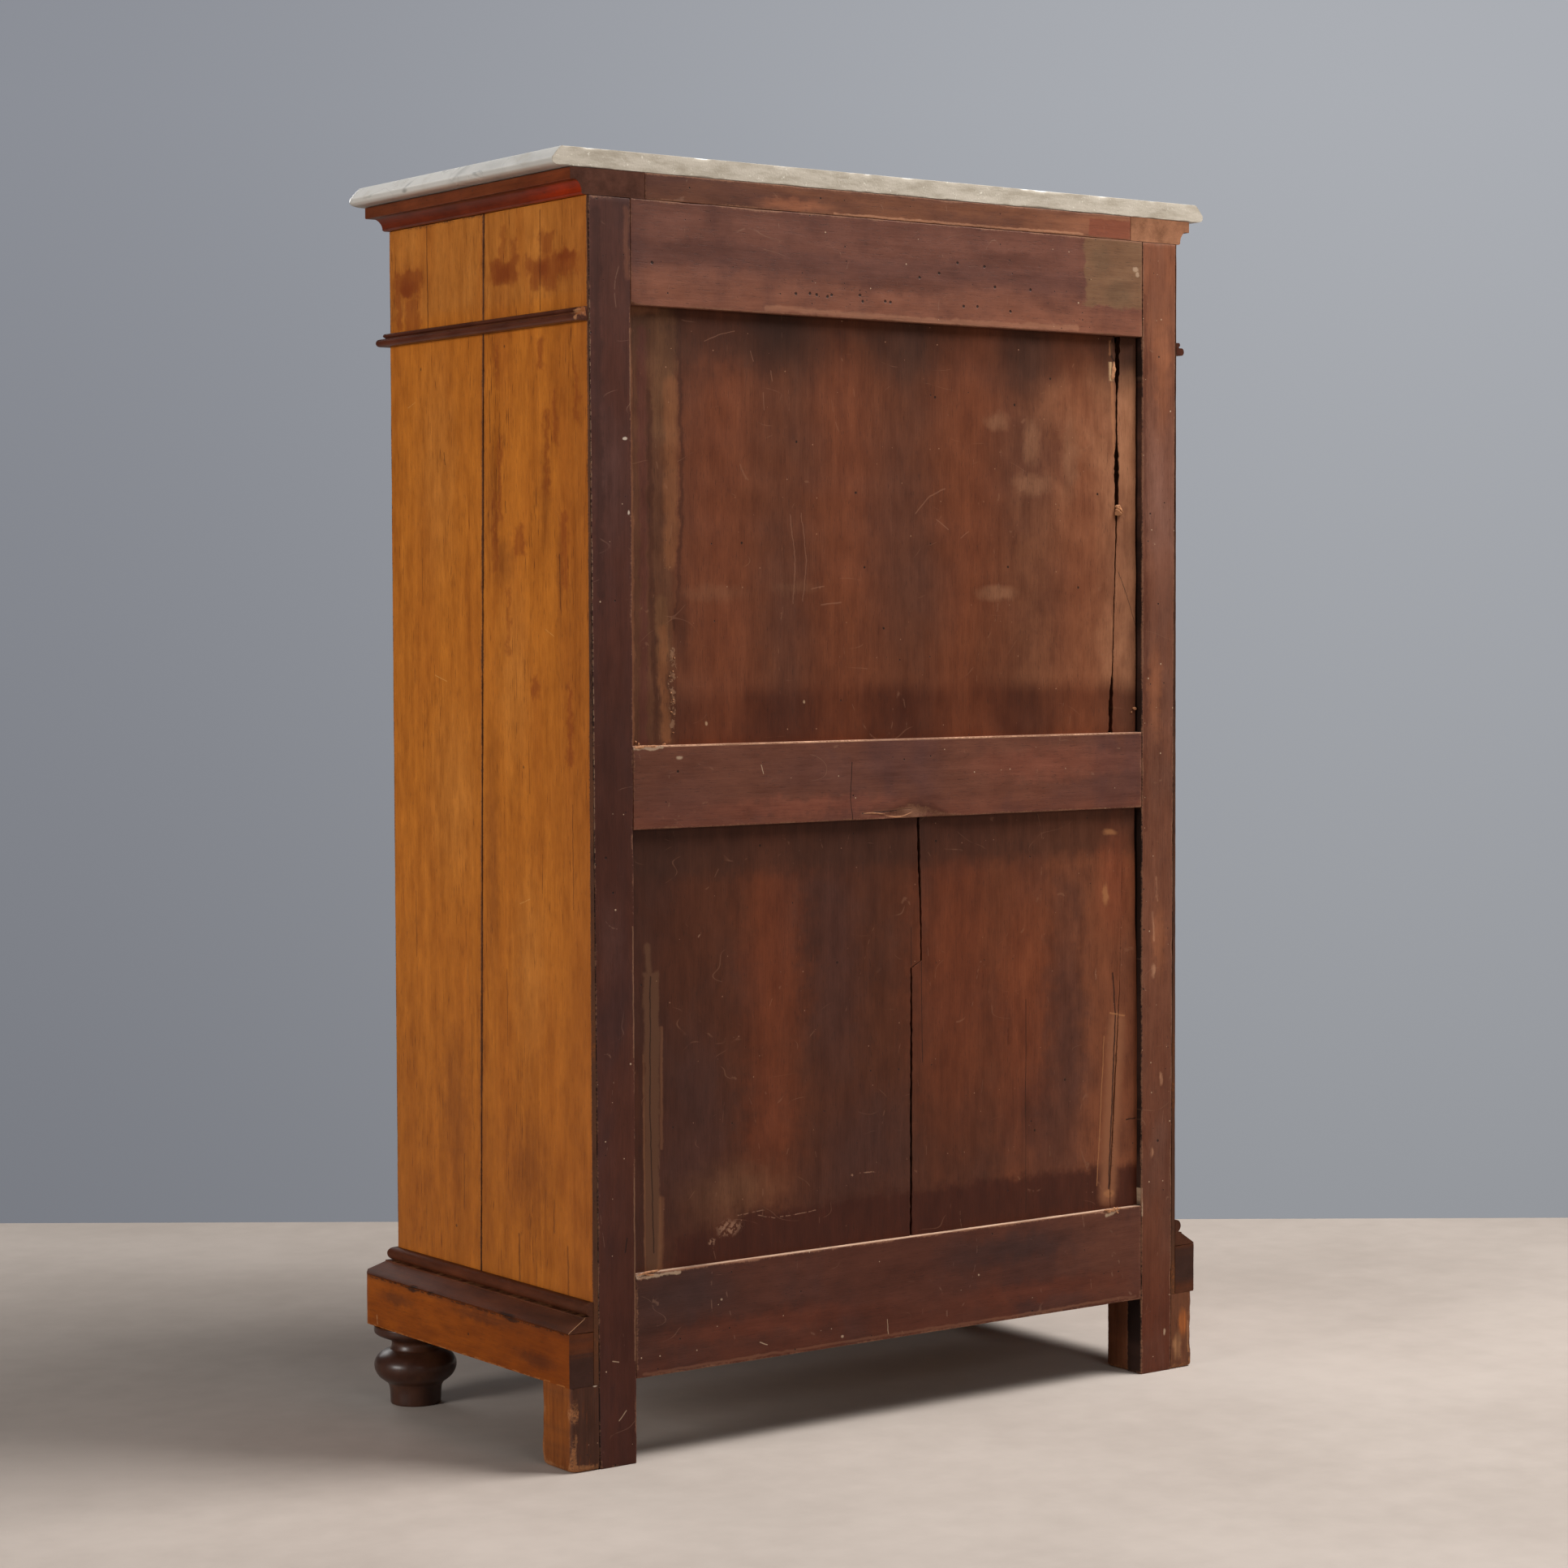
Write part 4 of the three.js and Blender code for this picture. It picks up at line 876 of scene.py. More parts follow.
sideMarks = [
    mark(
        (120, 50, 15), 0.68,
        ("boxes", 5, 13, (34, 92, 1364, 1392), (56, 68, 1388, 1428), (80, 92, 1386, 1414),
            (112, 222, 1366, 1388), (126, 176, 1350, 1372), (142, 172, 1388, 1416),
            (-190, -128, 1364, 1394), (-162, -130, 1318, 1360), (-188, -172, 1326, 1368),
            (184, 198, 1004, 1096), (84, 104, 1046, 1082), (150, 159, 1110, 1210), (36, 44, 1030, 1120),
            (120, 134, 880, 905), (49, 57, 1090, 1184), (137, 148, 1258, 1294), (213, 222, 1200, 1262),
            (44, 51, 1244, 1288), (169, 178, 1172, 1234), (66, 72, 930, 1010), (196, 206, 800, 900)),
        grainy=0.9),
    mark((46, 22, 12), 0.85, ("lines", 1.1, 0.8, (-75, 1172, -73, 1158)),
        ("lines", 0.9, 0.8, (64, 1110, 65, 1096))),
    mark((112, 44, 12), 0.6,
        ("ovals", 0.7, 8, (62, 1376, 16, 11), (148, 1372, 12, 8), (196, 1384, 18, 6), (-160, 1374, 16, 9))),
    mark((104, 50, 18), 0.4, ("lines", 5, 4, (-1, 330, 6, 700)), ("lines", 6, 4, (12, 1010, 20, 1447)),
        fixed=True),
    mark((62, 30, 13), 0.9, ("lines", 1.1, 0.8, (-110.5, 1324, -111.5, 1447)),
        ("lines", 1, 1, (142.7, 1326, 143.6, 1440))),
    mark((62, 30, 13), 0.9, ("lines", 2.3, 0.8, (-5, 98, 20, 1448)), fixed=True),
    mark(
        (86, 44, 16), 0.75, ("lines", 2.2, 2, (83, 250, 84, 196)), ("lines", 1.8, 2, (120, 236, 121, 180)),
        ("lines", 2.4, 2, (189, 250, 190, 190)), ("lines", 1.4, 2, (160, 300, 160, 262)),
        ("lines", 1.2, 1, (-129, 1060, -128, 990), (112, 830, 113, 770), (60, 560, 61, 470)),
        ("lines", 1.4, 1.5, (-40, 330, -41, 262), (205, 760, 206, 640)),
        ("lines", 1.8, 1.5, (181, 1045, 182, 985)),
        ("lines", 1, 1, (-150, 640, -150, 560), (140, 700, 140, 655)),
        ("lines", 1.6, 1, (30, 1240, 31, 1180)), ("lines", 1.1, 1, (-20, 500, -21, 380)), grainy=0.5,
        rise=-0.03),
    mark((214, 160, 92), 0.5,
        ("lines", 0.8, 1, (-100, 905, -72, 898), (90, 640, 112, 646), (150, 960, 168, 952)),
        ("lines", 0.7, 1, (-160, 1230, -142, 1236)), ("lines", 0.7, 0.6, (-30, 560, -28, 530)), grainy=0.3),
    mark((58, 32, 14), 0.7,
        ("ovals", 0.4, 1, (-128, 1275, 1.4, 1.8), (64, 1290, 1.6, 1.6), (100, 800, 1.4, 2),
            (-60, 240, 2, 2)), rise=-0.2)]


def moved(marks, shift):
    # the same marks, moved along the side; a fixed one stays at the joint of the boards
    def push(kind, soft, ragged, *places):
        # a place's numbers along the side: an oval's first, a box's first two, every other one of a line
        along = {"ovals": slice(0, 1), "boxes": slice(0, 2), "lines": slice(0, None, 2)}[kind]
        pushed = [list(place) for place in places]
        for place in pushed:
            place[along] = [value + shift for value in place[along]]
        return kind, soft, ragged, *pushed

    return [{**mark, "shapes": [push(*group) for group in mark["shapes"]]}
            if not mark.get("fixed") else mark for mark in marks]


amberSide = {**amber, "worn": ((78, 46, 28), 0.3), "fades": [
    ("v", 640, 240, (156, 88, 22), 0.7), ("v", 1325, 1350, (174, 112, 50), 0.6),
    ("y", 120, 238, (144, 80, 28), 0.6), ("v", 200, 168, (112, 60, 26), 0.6),
    ("y", 240.9, 241.5, (52, 30, 23), 0.97)]}
sideWoods = {side: woodMaterial(side + " side wood", {**amberSide, "stains": moved(sideStains, shift),
                                                      "marks": moved(sideMarks, shift)})
             for side, shift in (("right", 0), ("left", -23))}
postWood = woodMaterial("front post wood", {**amber, "seen": "back", "base": (154, 90, 36)})
drawerFrontWood = woodMaterial("drawer front wood", {
    **amber, "seen": "back", "grain": "x", "base": (162, 96, 38), "coat": 0.25, "rough": (0.26, 0.4),
    "strength": (0.75, 0.5, 0.3, 0.4), "cloudSize": (0.0035, 0.02, 1),
    "fades": [("y", -184, -176, (178, 138, 92), 0.85)], "holes": [(60, 1, 0.12, (66, 36, 18), -0.1)]})
inside = {
    "seen": "side", "grain": "y", "base": (176, 142, 102), "strength": (0.5, 0.45, 0.3, 0.3),
    "rough": (0.6, 0.78), "cloud": ((156, 120, 84), 0.5), "relief": 0.06, "pores": 0.3, "specular": 0.3,
    "shades": ((0.72, 0.64, 0.56, 1), (1.16, 1.17, 1.18, 1)),
    "holes": [(70, 0.9, 0.2, (70, 44, 28), -0.3)]}
insideWood = woodMaterial("inside wood", inside)
dividerWood = woodMaterial("divider wood", {**inside, "fades": [("y", -196.5, -198, (126, 66, 26), 0.96)]})
crossWood = woodMaterial("drawer bottom wood", {
    **inside, "seen": "top", "grain": "x", "base": (170, 136, 98), "rough": (0.62, 0.8),
    "cloud": ((150, 116, 82), 0.5), "holes": []})
redPolish = {
    "seen": "side", "grain": "y", "base": (96, 36, 16), "strength": (0.4, 0.4, 0.3, 0.7),
    "rough": (0.24, 0.42), "cloud": ((74, 30, 16), 0.5), "relief": 0.03, "specular": 0.2, "coat": 0.02,
    "shades": ((0.55, 0.48, 0.44, 1), (1.5, 1.45, 1.4, 1)), "worn": ((158, 96, 54), 0.5)}
# towards the rear the cove turns orange-red: a painted glow of light; above z 1464.5 the fascia is a browner
# tone
corniceGlowAndFascia = [("y", 90, 190, (140, 40, 4), 0.9), ("z", 1462.5, 1464.5, (98, 50, 26), 0.9)]
corniceWood = woodMaterial("cornice wood", {
    **redPolish, "fades": [*corniceGlowAndFascia, ("y", 240, 241.6, (76, 48, 38), 1)],
    "holes": [(8, 0.7, 0.16, black, -0.3)]})
corniceLeftWood = woodMaterial("left cornice wood", {
    **redPolish, "fades": [*corniceGlowAndFascia, ("y", 240, 241.6, (162, 118, 90), 1)],
    "holes": [(9, 0.9, 0.3, black, -0.3)]})
corniceFrontWood = woodMaterial("front cornice wood",
    {**redPolish, "seen": "back", "grain": "x", "fades": [("z", 1462.5, 1464.5, (112, 60, 38), 0.85)]})
waistWood = woodMaterial(
    "waist moulding wood",
    {**redPolish, "base": (82, 44, 30), "fades": [("y", 215, 240, (70, 42, 34), 0.7)],
        "marks": [
            mark((176, 124, 84), 0.8, ("ovals", 0.4, 3, (228, 1318, 6, 2.5)),
                ("ovals", 0.4, 2, (236, 1311, 3, 3)), rise=0.1)]})
waistFrontWood = woodMaterial("front waist moulding wood",
    {**redPolish, "seen": "back", "grain": "x", "base": (82, 44, 30)})
capWood = woodMaterial("plinth cap wood", {
    **redPolish, "base": (86, 44, 24), "rough": (0.42, 0.58), "coat": 0, "specular": 0.14,
    "cloud": ((66, 38, 26), 0.6),
    "fades": [("z", 176, 178, (76, 38, 22), 0.6), ("y", 60, 235, (64, 38, 26), 0.6)],
    "marks": [
        mark((34, 20, 16), 0.85, ("ovals", 0.4, 2, (-106, 160.5, 9, 2.2), (-66, 161, 6, 1.8)),
            ("ovals", 0.4, 3, (108, 161, 16, 2)), rise=-0.4),
        mark((170, 128, 94), 0.8, ("lines", 0.9, 0.2, (240.7, 161, 240.7, 177))),
        mark((152, 104, 68), 0.6, ("lines", 1.2, 0.6, (-200, 178, 236, 178)), crumbly=0.12)],
    "holes": [(22, 0.8, 0.12, (150, 110, 80), 0.05)]})
capFrontWood = woodMaterial("front plinth cap wood",
    {**redPolish, "seen": "back", "grain": "x", "base": (90, 54, 40), "rough": (0.34, 0.5), "coat": 0.15})
plinthBase = {**amber, "grain": "y", "base": (142, 71, 8), "cloud": ((120, 57, 6), 0.6), "specular": 0.16,
    "cloudSize": (0.006, 0.02, 1), "worn": ((152, 92, 48), 0.5), "rough": (0.38, 0.54)}
plinthSideWood = woodMaterial("plinth side wood", {
    **plinthBase,
    "fades": [("y", -100, 200, (114, 53, 7), 0.8), ("y", 241, 241.8, (58, 34, 26), 1),
        ("z", 152, 160, (98, 50, 20), 0.6)],
    "stains": [
        mark((72, 36, 20), 0.6,
            ("ovals", 0.7, 8, (-150, 140, 36, 8), (60, 150, 70, 6), (170, 120, 40, 8)))],
    "marks": [
        mark((190, 142, 96), 0.8, ("lines", 1.4, 1, (-199, 112, -197, 101)), grainy=0.3),
        mark((170, 112, 62), 0.5, ("lines", 1.4, 2, (-226, 99, 232, 99)), crumbly=0.06),
        mark((44, 22, 12), 0.8, ("lines", 1.5, 1.5, (-220, 158.6, 236, 158.6)), crumbly=0.1),
        mark((40, 22, 14), 0.8, ("ovals", 0.4, 2, (-112, 158, 9, 3), (-70, 159, 5, 2)),
            ("ovals", 0.4, 3, (118, 158, 15, 3)), ("ovals", 0.4, 1, (20, 125, 1.6, 1.6)), rise=-0.4)]})
plinthFrontWood = woodMaterial("plinth front wood", {**plinthBase, "seen": "back", "grain": "x"})
footBase = {
    **amber, "base": (104, 58, 30), "cloud": ((78, 44, 28), 0.7), "rough": (0.5, 0.66),
    "relief": 0.07, "worn": ((150, 98, 60), 0.38), "strength": (0.5, 0.6, 0.35, 0.6),
    "cloudSize": (0.02, 0.012, 1), "seen": "back"}
rightFootWood = woodMaterial("right foot block wood", {
    **footBase, "base": (128, 69, 21), "fades": [("y", 234, 240.5, (60, 34, 25), 0.92)],
    "marks": [
        mark(black, 0.95, ("ovals", 0.3, 1.5, (463, 149, 4, 5)), rise=-1),
        mark((206, 186, 164), 0.9, ("ovals", 0.4, 1.5, (447, 99, 3, 3)), rise=0.2),
        mark((150, 100, 62), 0.6, ("lines", 2, 2, (473, 44, 474, 14)),
            ("lines", 3, 3, (444, 5, 474, 6)), grainy=0.4)],
    "holes": [(18, 0.9, 0.16, black, -0.3), (15, 0.8, 0.12, (150, 116, 90), 0.05)]})
leftFootWood = woodMaterial("left foot block wood", {
    **footBase, "base": (112, 66, 40), "fades": [("y", 236, 241, (104, 62, 40), 0.7)],
    "stains": [mark((44, 28, 22), 0.8, ("lines", 4, 4, (-444, 150, -446, 108)))],
    "marks": [mark((176, 98, 42), 0.8, ("ovals", 0.5, 5, (-462, 60, 8, 16)), grainy=0.3),
        mark((172, 124, 84), 0.7, ("lines", 2, 3, (-471, 60, -472, 20)),
            ("ovals", 0.6, 5, (-452, 30, 6, 14)), grainy=0.4)], "holes": [(14, 0.9, 0.2, black, -0.3)]})
corniceRailWood = woodMaterial("cornice rear rail wood", {
    **frameBase, "grain": "x", "base": (108, 70, 50), "rough": (0.55, 0.72),
    "cloudSize": (0.006, 0.02, 1),
    "fades": [("u", 120, 380, (82, 50, 37), 0.85), ("u", -160, -330, (144, 98, 74), 0.7),
        ("v", 1470, 1478, (92, 62, 50), 0.5)],
    "stains": [mark((116, 62, 46), 0.7, ("boxes", 1, 2, (-300, -400, 1446, 1472))),
        mark((150, 98, 70), 0.6, ("ovals", 0.6, 5, (160, 1456, 44, 7)),
            ("ovals", 0.5, 2, (382, 1452, 5, 4)))],
    "marks": [
        mark((184, 132, 100), 0.6, ("lines", 2.2, 2, (100, 1450, -120, 1450, -290, 1451)), grainy=0.5)],
    "holes": [(24, 0.9, 0.16, black, -0.4)]})
turnedWood = woodMaterial("turned wood", {
    "seen": "back", "grain": "z", "base": (58, 32, 22), "strength": (0.4, 0.4, 0.25, 0.4),
    "rough": (0.3, 0.44), "cloud": ((84, 52, 34), 0.6), "cloudSize": (0.02, 0.02, 1), "relief": 0.02,
    "specular": 0.35, "coat": 0.08, "coatRough": 0.15, "pores": 0.3,
    "shades": ((0.55, 0.5, 0.46, 1), (1.5, 1.5, 1.5, 1))})


def stoneMaterial(name):
    # Polished stone: clouds, and veins where a bent noise passes its middle value; the
    # sawn rear face is rough, beige and chipped along its arrises.
    material, graph, shader = newMaterial(name)
    place = graph.place()
    bend = graph.noise(place, 0.006, 3, 0.5, colour=True) * 190.0
    bent = (place + bend) * (1.0, 0.45, 1.0)
    cloud = graph.noise(bent, 0.009, 5, 0.6)
    tone = graph.mix(graph.smooth(cloud, 0.4, 0.75), (248, 246, 242), (216, 215, 212))
    veins = (0.0062, 0.022, (118, 122, 124), 0.75), (0.017, 0.014, (134, 137, 138), 0.6)
    for scale, width, colour, amount in veins:
        gap = graph.math("ABSOLUTE", graph.noise(bent, scale, 4, 0.55) - 0.5)
        strength = graph.smooth(graph.noise(place, 0.008, 2, 0.5), 0.4, 0.65, 0.1, amount)
        tone = graph.mix(graph.smooth(gap, width, 0.0) * strength, tone, colour)
    stain = graph.smooth(graph.noise(place, 0.02, 5, 0.65), 0.52, 0.75, 0.0, 0.3)
    tone = graph.mix(stain, tone, (184, 168, 144))
    axes = graph.split(place)
    # below the bevel the stone is painted darker: painted shade where the edge curves under
    tone = graph.mix(graph.smooth(axes[2], 1488, 1484, 0.0, 0.55), tone, (138, 132, 122))
    rear = graph.smooth(axes[1], backY - 1.2, backY - 0.4)
    blot = graph.noise(place * (0.02, 1, 0.09), 1.0, 6, 0.68)
    sawn = graph.mix(graph.smooth(blot, 0.35, 0.7), (190, 180, 165), (158, 147, 130))
    grime = graph.noise(place * (0.05, 1, 0.16), 1.0, 5, 0.7)
    sawn = graph.mix(graph.smooth(grime, 0.58, 0.74, 0.0, 0.5), sawn, (122, 110, 95))
    spot = graph.noise(place, 0.25, 3, 0.7)
    sawn = graph.mix(graph.smooth(spot, 0.62, 0.72, 0.0, 0.8), sawn, (226, 220, 206))
    tone = graph.mix(rear, tone, sawn)
    rough = graph.blendValue(rear, graph.smooth(cloud, 0.3, 0.7, 0.2, 0.34), 0.72)
    height = graph.noise(place, 0.4, 4, 0.6) * graph.blendValue(rear, 0.01, 0.3)
    finishMaterial(graph, shader, tone, rough, height)
    return material


marbleStone = stoneMaterial("marble")
print("materials ready")


# Frame-and-panel back
def wornRail(node, wood, look, reach=None):
    # a board from side to side that fills its box, or is cut off at the reach
    lo, hi = box(node)
    reach = reach or hi[0]
    wornBoard(node + "_worn", node, wood, (-reach, reach),
              lambda s: (lo[2], hi[2], lo[1], hi[1]), lying, {"pitch": 5, "facePitch": 5, **look})


for node, wood, look in (
        ("back_rail_top", topRailWood, {"seed": 11, "chips": [(388, 3, 4, 5)]}),
        ("back_rail_middle", middleRailWood, {
            "seed": 12, "facePitch": 4, "chips": [(385, 2, 5, 4), (-60, 3, 20, 2.5)],
            "dents": [(-22, 736, 34, 9, 2.2), (-48, 733, 20, 6, 1.6), (12, 734, 18, 5, 2.0)]}),
        ("back_rail_bottom", bottomRailWood, {"seed": 13, "chips": [(384, 2, 12, 6), (-330, 2, 16, 3)]})):
    wornRail(node, wood, {"worn": 1.0, **look}, stileInner - jointGap)

stileFoot = 441.0  # outer edge of a stile at the floor, from the middle
lean = (stileHi[0] - stileFoot) / stileHi[2]
stiles = {
    "right": (rightStileWood, 21, [(0, 1, 10, 3), (0, 2, 12, 3)],
              lambda s: (stileInner, stileFoot + lean * s, frameFront, backY)),
    "left": (leftStileWood, 22, [(0, 0, 10, 3)],
             lambda s: (-stileFoot - lean * s, -stileInner, frameFront, backY)),
}
for side, (wood, seed, chips, edges) in stiles.items():
    node = "rear_stile_" + side
    wornBoard(node + "_worn", node, wood, (0, stileHi[2]), edges, standing,
              {"pitch": 5, "worn": 1.3, "seed": seed, "chips": chips})


def crackWidth(s, stations):
    # width of a split at each height, from its stations, with a ragged edge
    heights, _, widths = zip(*stations)
    width = np.interp(s, heights, widths, left=0, right=0)
    return width * np.clip(1 + 0.25 * ripple(s, 0, 9, 51), 0.3, 1.6)


def edgeOf(stations, side):
    # the edge of a split on its left (-1) or right (1), as a function of height
    heights, places, _ = zip(*stations)

    def edge(s):
        place = np.interp(s, heights, places) + 0.35 * ripple(s, 0, 14, 52)
        return place + side * crackWidth(s, stations) / 2

    return edge


def panelStrip(node, ending, low, high, look):
    # one strip of a panel between two edges that change with height
    lo, hi = box(node)
    wood = upperPanelWood if "upper" in node else lowerPanelWood
    wornBoard(node + ending, node, wood, (lo[2], hi[2]),
              lambda s: (low(s), high(s), lo[1], hi[1]), standing,
              {"pitch": 4, "facePitch": 6, "ripple": 0.35, "arris": 0.35, "worn": 0.3, **look})


# Panels: each is strips between cracks that are open in places
upperLo, upperHi = box("back_panel_upper")
railTopLo = box("back_rail_top")[0]
railMiddleHi = box("back_rail_middle")[1]
railBottomHi = box("back_rail_bottom")[1]
midTop, topFoot, lowTop = railMiddleHi[2], railTopLo[2], railBottomHi[2]
mainCrack = [  # height, distance from the middle, width of the split
    (midTop - 6, -344, 7), (midTop + 52, -346, 6.5), (midTop + 76, -347.5, 1.8),
    (midTop + 180, -351, 1.6), (midTop + 230, -353, 2.2), (midTop + 268, -354, 3),
    (midTop + 292, -354.5, 7), (midTop + 350, -354.5, 8), (midTop + 368, -354.5, 2.6),
    (midTop + 410, -354, 3), (topFoot - 70, -354.5, 3.6), (topFoot - 48, -355, 7.5), (topFoot + 6, -356, 9),
]
panelStrip("back_panel_upper", "_worn", edgeOf(mainCrack, 1), lambda s: upperHi[0], {"seed": 31})
panelStrip("back_panel_upper", "_strip", lambda s: upperLo[0] + 0.5 * ripple(s, 0, 80, 61),
           edgeOf(mainCrack, -1), {"seed": 32, "facePitch": 4})

lowerLo, lowerHi = box("back_panel_lower_right")
step = lowTop + 332
boardJoint = [
    (lowerLo[2], -20, 3.4), (step - 60, -21.5, 3.2), (step - 2, -21.5, 2.4), (step + 2, -37, 2.0),
    (step + 60, -36, 2.6), (lowerHi[2], -32, 4.6),
]
slantCrack = [
    (lowerLo[2], -345, 0.2), (lowTop + 26, -344, 0.8), (lowTop + 140, -351, 2.2),
    (lowTop + 280, -360, 0.8), (lowTop + 300, -361, 0), (lowerHi[2], -366, 0),
]
leftHeights, leftEdge = [side[2] for side in box("back_panel_lower_left")], np.array([-4, 5]) - stileInner
panelStrip("back_panel_lower_right", "_worn", edgeOf(boardJoint, 1), lambda s: lowerHi[0], {"seed": 33})
panelStrip("back_panel_lower_left", "_worn", edgeOf(slantCrack, 1), edgeOf(boardJoint, -1), {
    "seed": 34, "tracks": [{"at": 182, "width": 0.8, "depth": 1.6, "from": lowTop + 20, "to": lowTop + 262,
                            "wander": 1.0}]})
panelStrip("back_panel_lower_left", "_strip",
           lambda s: np.interp(s, leftHeights, leftEdge) + 0.5 * ripple(s, 0, 70, 62),
           edgeOf(slantCrack, -1), {"seed": 35, "facePitch": 4})

# Sides: two boards each, the rear one rebated for the stile
sideCrack = {"at": 135.5, "width": 0.8, "depth": 1.4, "from": 1330, "to": bodyTop + 40, "wander": 1.5}
sideLook = {
    "jointTop": 222.0,  # of the two boards, back from the front
    "jointFoot": 197.0,
    "gap": 1.7,
    "right": {"sign": 1, "seed": 41, "tracks": [sideCrack]},
    "left": {"sign": -1, "seed": 43, "tracks": []},
}


def sideJoint(s):
    # place of the open joint of the two boards: a straight line from its foot to its top
    return frontY + np.interp(s, (sideLo[2], bodyTop), (sideLook["jointFoot"], sideLook["jointTop"]))


def jointHalf(s, seed):
    # half the joint's gap, times one and a long and a short ripple
    uneven = 0.5 * ripple(s, 0, 60, seed) + 0.3 * ripple(s, 0, 11, seed + 1)
    return sideLook["gap"] / 2 * np.clip(1 + uneven, 0.3, 2)


def rebatedBoard(name, node, material, sign, seed, tracks):
    # the rear side board: its section steps in at the stile and leaves a thin lip beside it
    s, inset = along(sideLo[2], bodyTop, 6, 0.8)
    front = sideJoint(s) + jointHalf(s, seed)
    lip = stileFoot + lean * s + jointGap
    turn = np.radians([0, 30, 60, 90])

    def arris(edge, facing, radius):
        # a quarter circle between the edge of the board and its face
        along, out = edge - facing * radius, halfWidth - inset - radius
        return np.stack([along[:, None] + facing * radius[:, None] * np.sin(turn),
                         out[:, None] + radius[:, None] * np.cos(turn)], -1)

    frontArc = arris(front, -1, 0.7 * (1 + 0.3 * ripple(s, 0, 25, seed + 2)))
    rearArc = arris(backY, 1, 0.6 + 0.5 * np.clip(ripple(s, 0, 40, seed + 5), 0, 1))[:, ::-1]
    width = backY - front.mean()
    shares = across(width, 6, tracks)[::-1]
    rearEnd, frontEnd = rearArc[:, -1], frontArc[:, 0]
    face = rearEnd[:, None] + (frontEnd - rearEnd)[:, None] * (1 - shares)[None, :, None]
    inner, rebate = sideLo[0], frameFront - jointGap
    corners = np.stack([np.stack(np.broadcast_arrays(along, out), -1) for along, out in (
        (front, inner), (rebate + 0 * s, inner), (rebate, lip), (backY, lip))], 1)
    outline = np.concatenate([corners, rearArc, face, frontArc], axis=1)
    u, v = outline[..., 0], outline[..., 1]
    station = np.broadcast_to(s[:, None], u.shape)
    flat, rise = 440, 8  # the inner side stays flat up to here, and the face ripples beyond the rise
    facing = np.clip((v - flat) / rise, 0, 1) ** 2
    v = v + facing * 0.12 * (ripple(station, u, 90, seed + 3) - 1)
    for track in tracks:
        middle = front.mean() + track["at"]
        envelope = np.clip((s - track["from"]) / 10, 0, 1) * np.clip((track["to"] - s) / 10, 0, 1)
        groove = np.clip(1 - np.abs(u - middle) / track["width"], 0, 1) * track["depth"]
        v = v - facing * envelope[:, None] * groove
        u = u + track["wander"] * ripple(s, 0, 60, seed + 17)[:, None] * np.exp(-(((u - middle) / 14) ** 2))
    faceWear = np.clip(0.7 - 0.2 * np.minimum(shares, 1 - shares) * width, 0, 1)
    wear = np.broadcast_to(np.concatenate([np.zeros(3), np.ones(5), faceWear, np.ones(4)]), u.shape)
    return makePiece(name, node, flank(sign)(station, u, v), wear, material)


for side in ("right", "left"):
    look = sideLook[side]
    node = "side_rear_board_" + side
    wood = sideWoods[side]
    rebatedBoard(node + "_worn", node, wood, look["sign"], look["seed"] + 1, look["tracks"])
    node = "side_front_board_" + side
    tracks = [{**track, "at": 92.0, "from": 1332} for track in look["tracks"]]
    wornBoard(node + "_worn", node, wood, (sideLo[2], bodyTop),
              lambda s: (frontY, sideJoint(s) - jointHalf(s, look["seed"] + 1), sideLo[0], halfWidth),
              flank(look["sign"]), {"arris": 0.8, "worn": 0.5, "ripple": 0.12, "ease": 0.8,
                                    "seed": look["seed"], "tracks": tracks})


# Mouldings: a profile of [out from the body, height] carried along each side and mitred
def arc(centre, radii, start, end, steps):
    turn = np.radians(np.linspace(start, end, steps))
    return np.stack([centre[0] + radii[0] * np.cos(turn), centre[1] + radii[1] * np.sin(turn)], -1)


def cutCorners(points, radius, steps):
    # each corner of closed outlines as a short quadratic curve, with the curves' first and last points
    def towards(way):
        gap = np.roll(points, way, axis=-2) - points
        length = np.linalg.norm(gap, axis=-1, keepdims=True)
        return points + gap * np.minimum(radius / np.maximum(length, 1e-6), 0.45)

    first, last = towards(1)[..., None, :], towards(-1)[..., None, :]
    t = np.linspace(0, 1, steps + 1)[:, None]
    return (1 - t) ** 2 * first + 2 * t * (1 - t) * points[..., None, :] + t ** 2 * last, first, last


def rounded(points, radius):
    # one closed outline with its corners cut
    return cutCorners(np.asarray(points, float), radius, 3)[0].reshape(-1, 2)


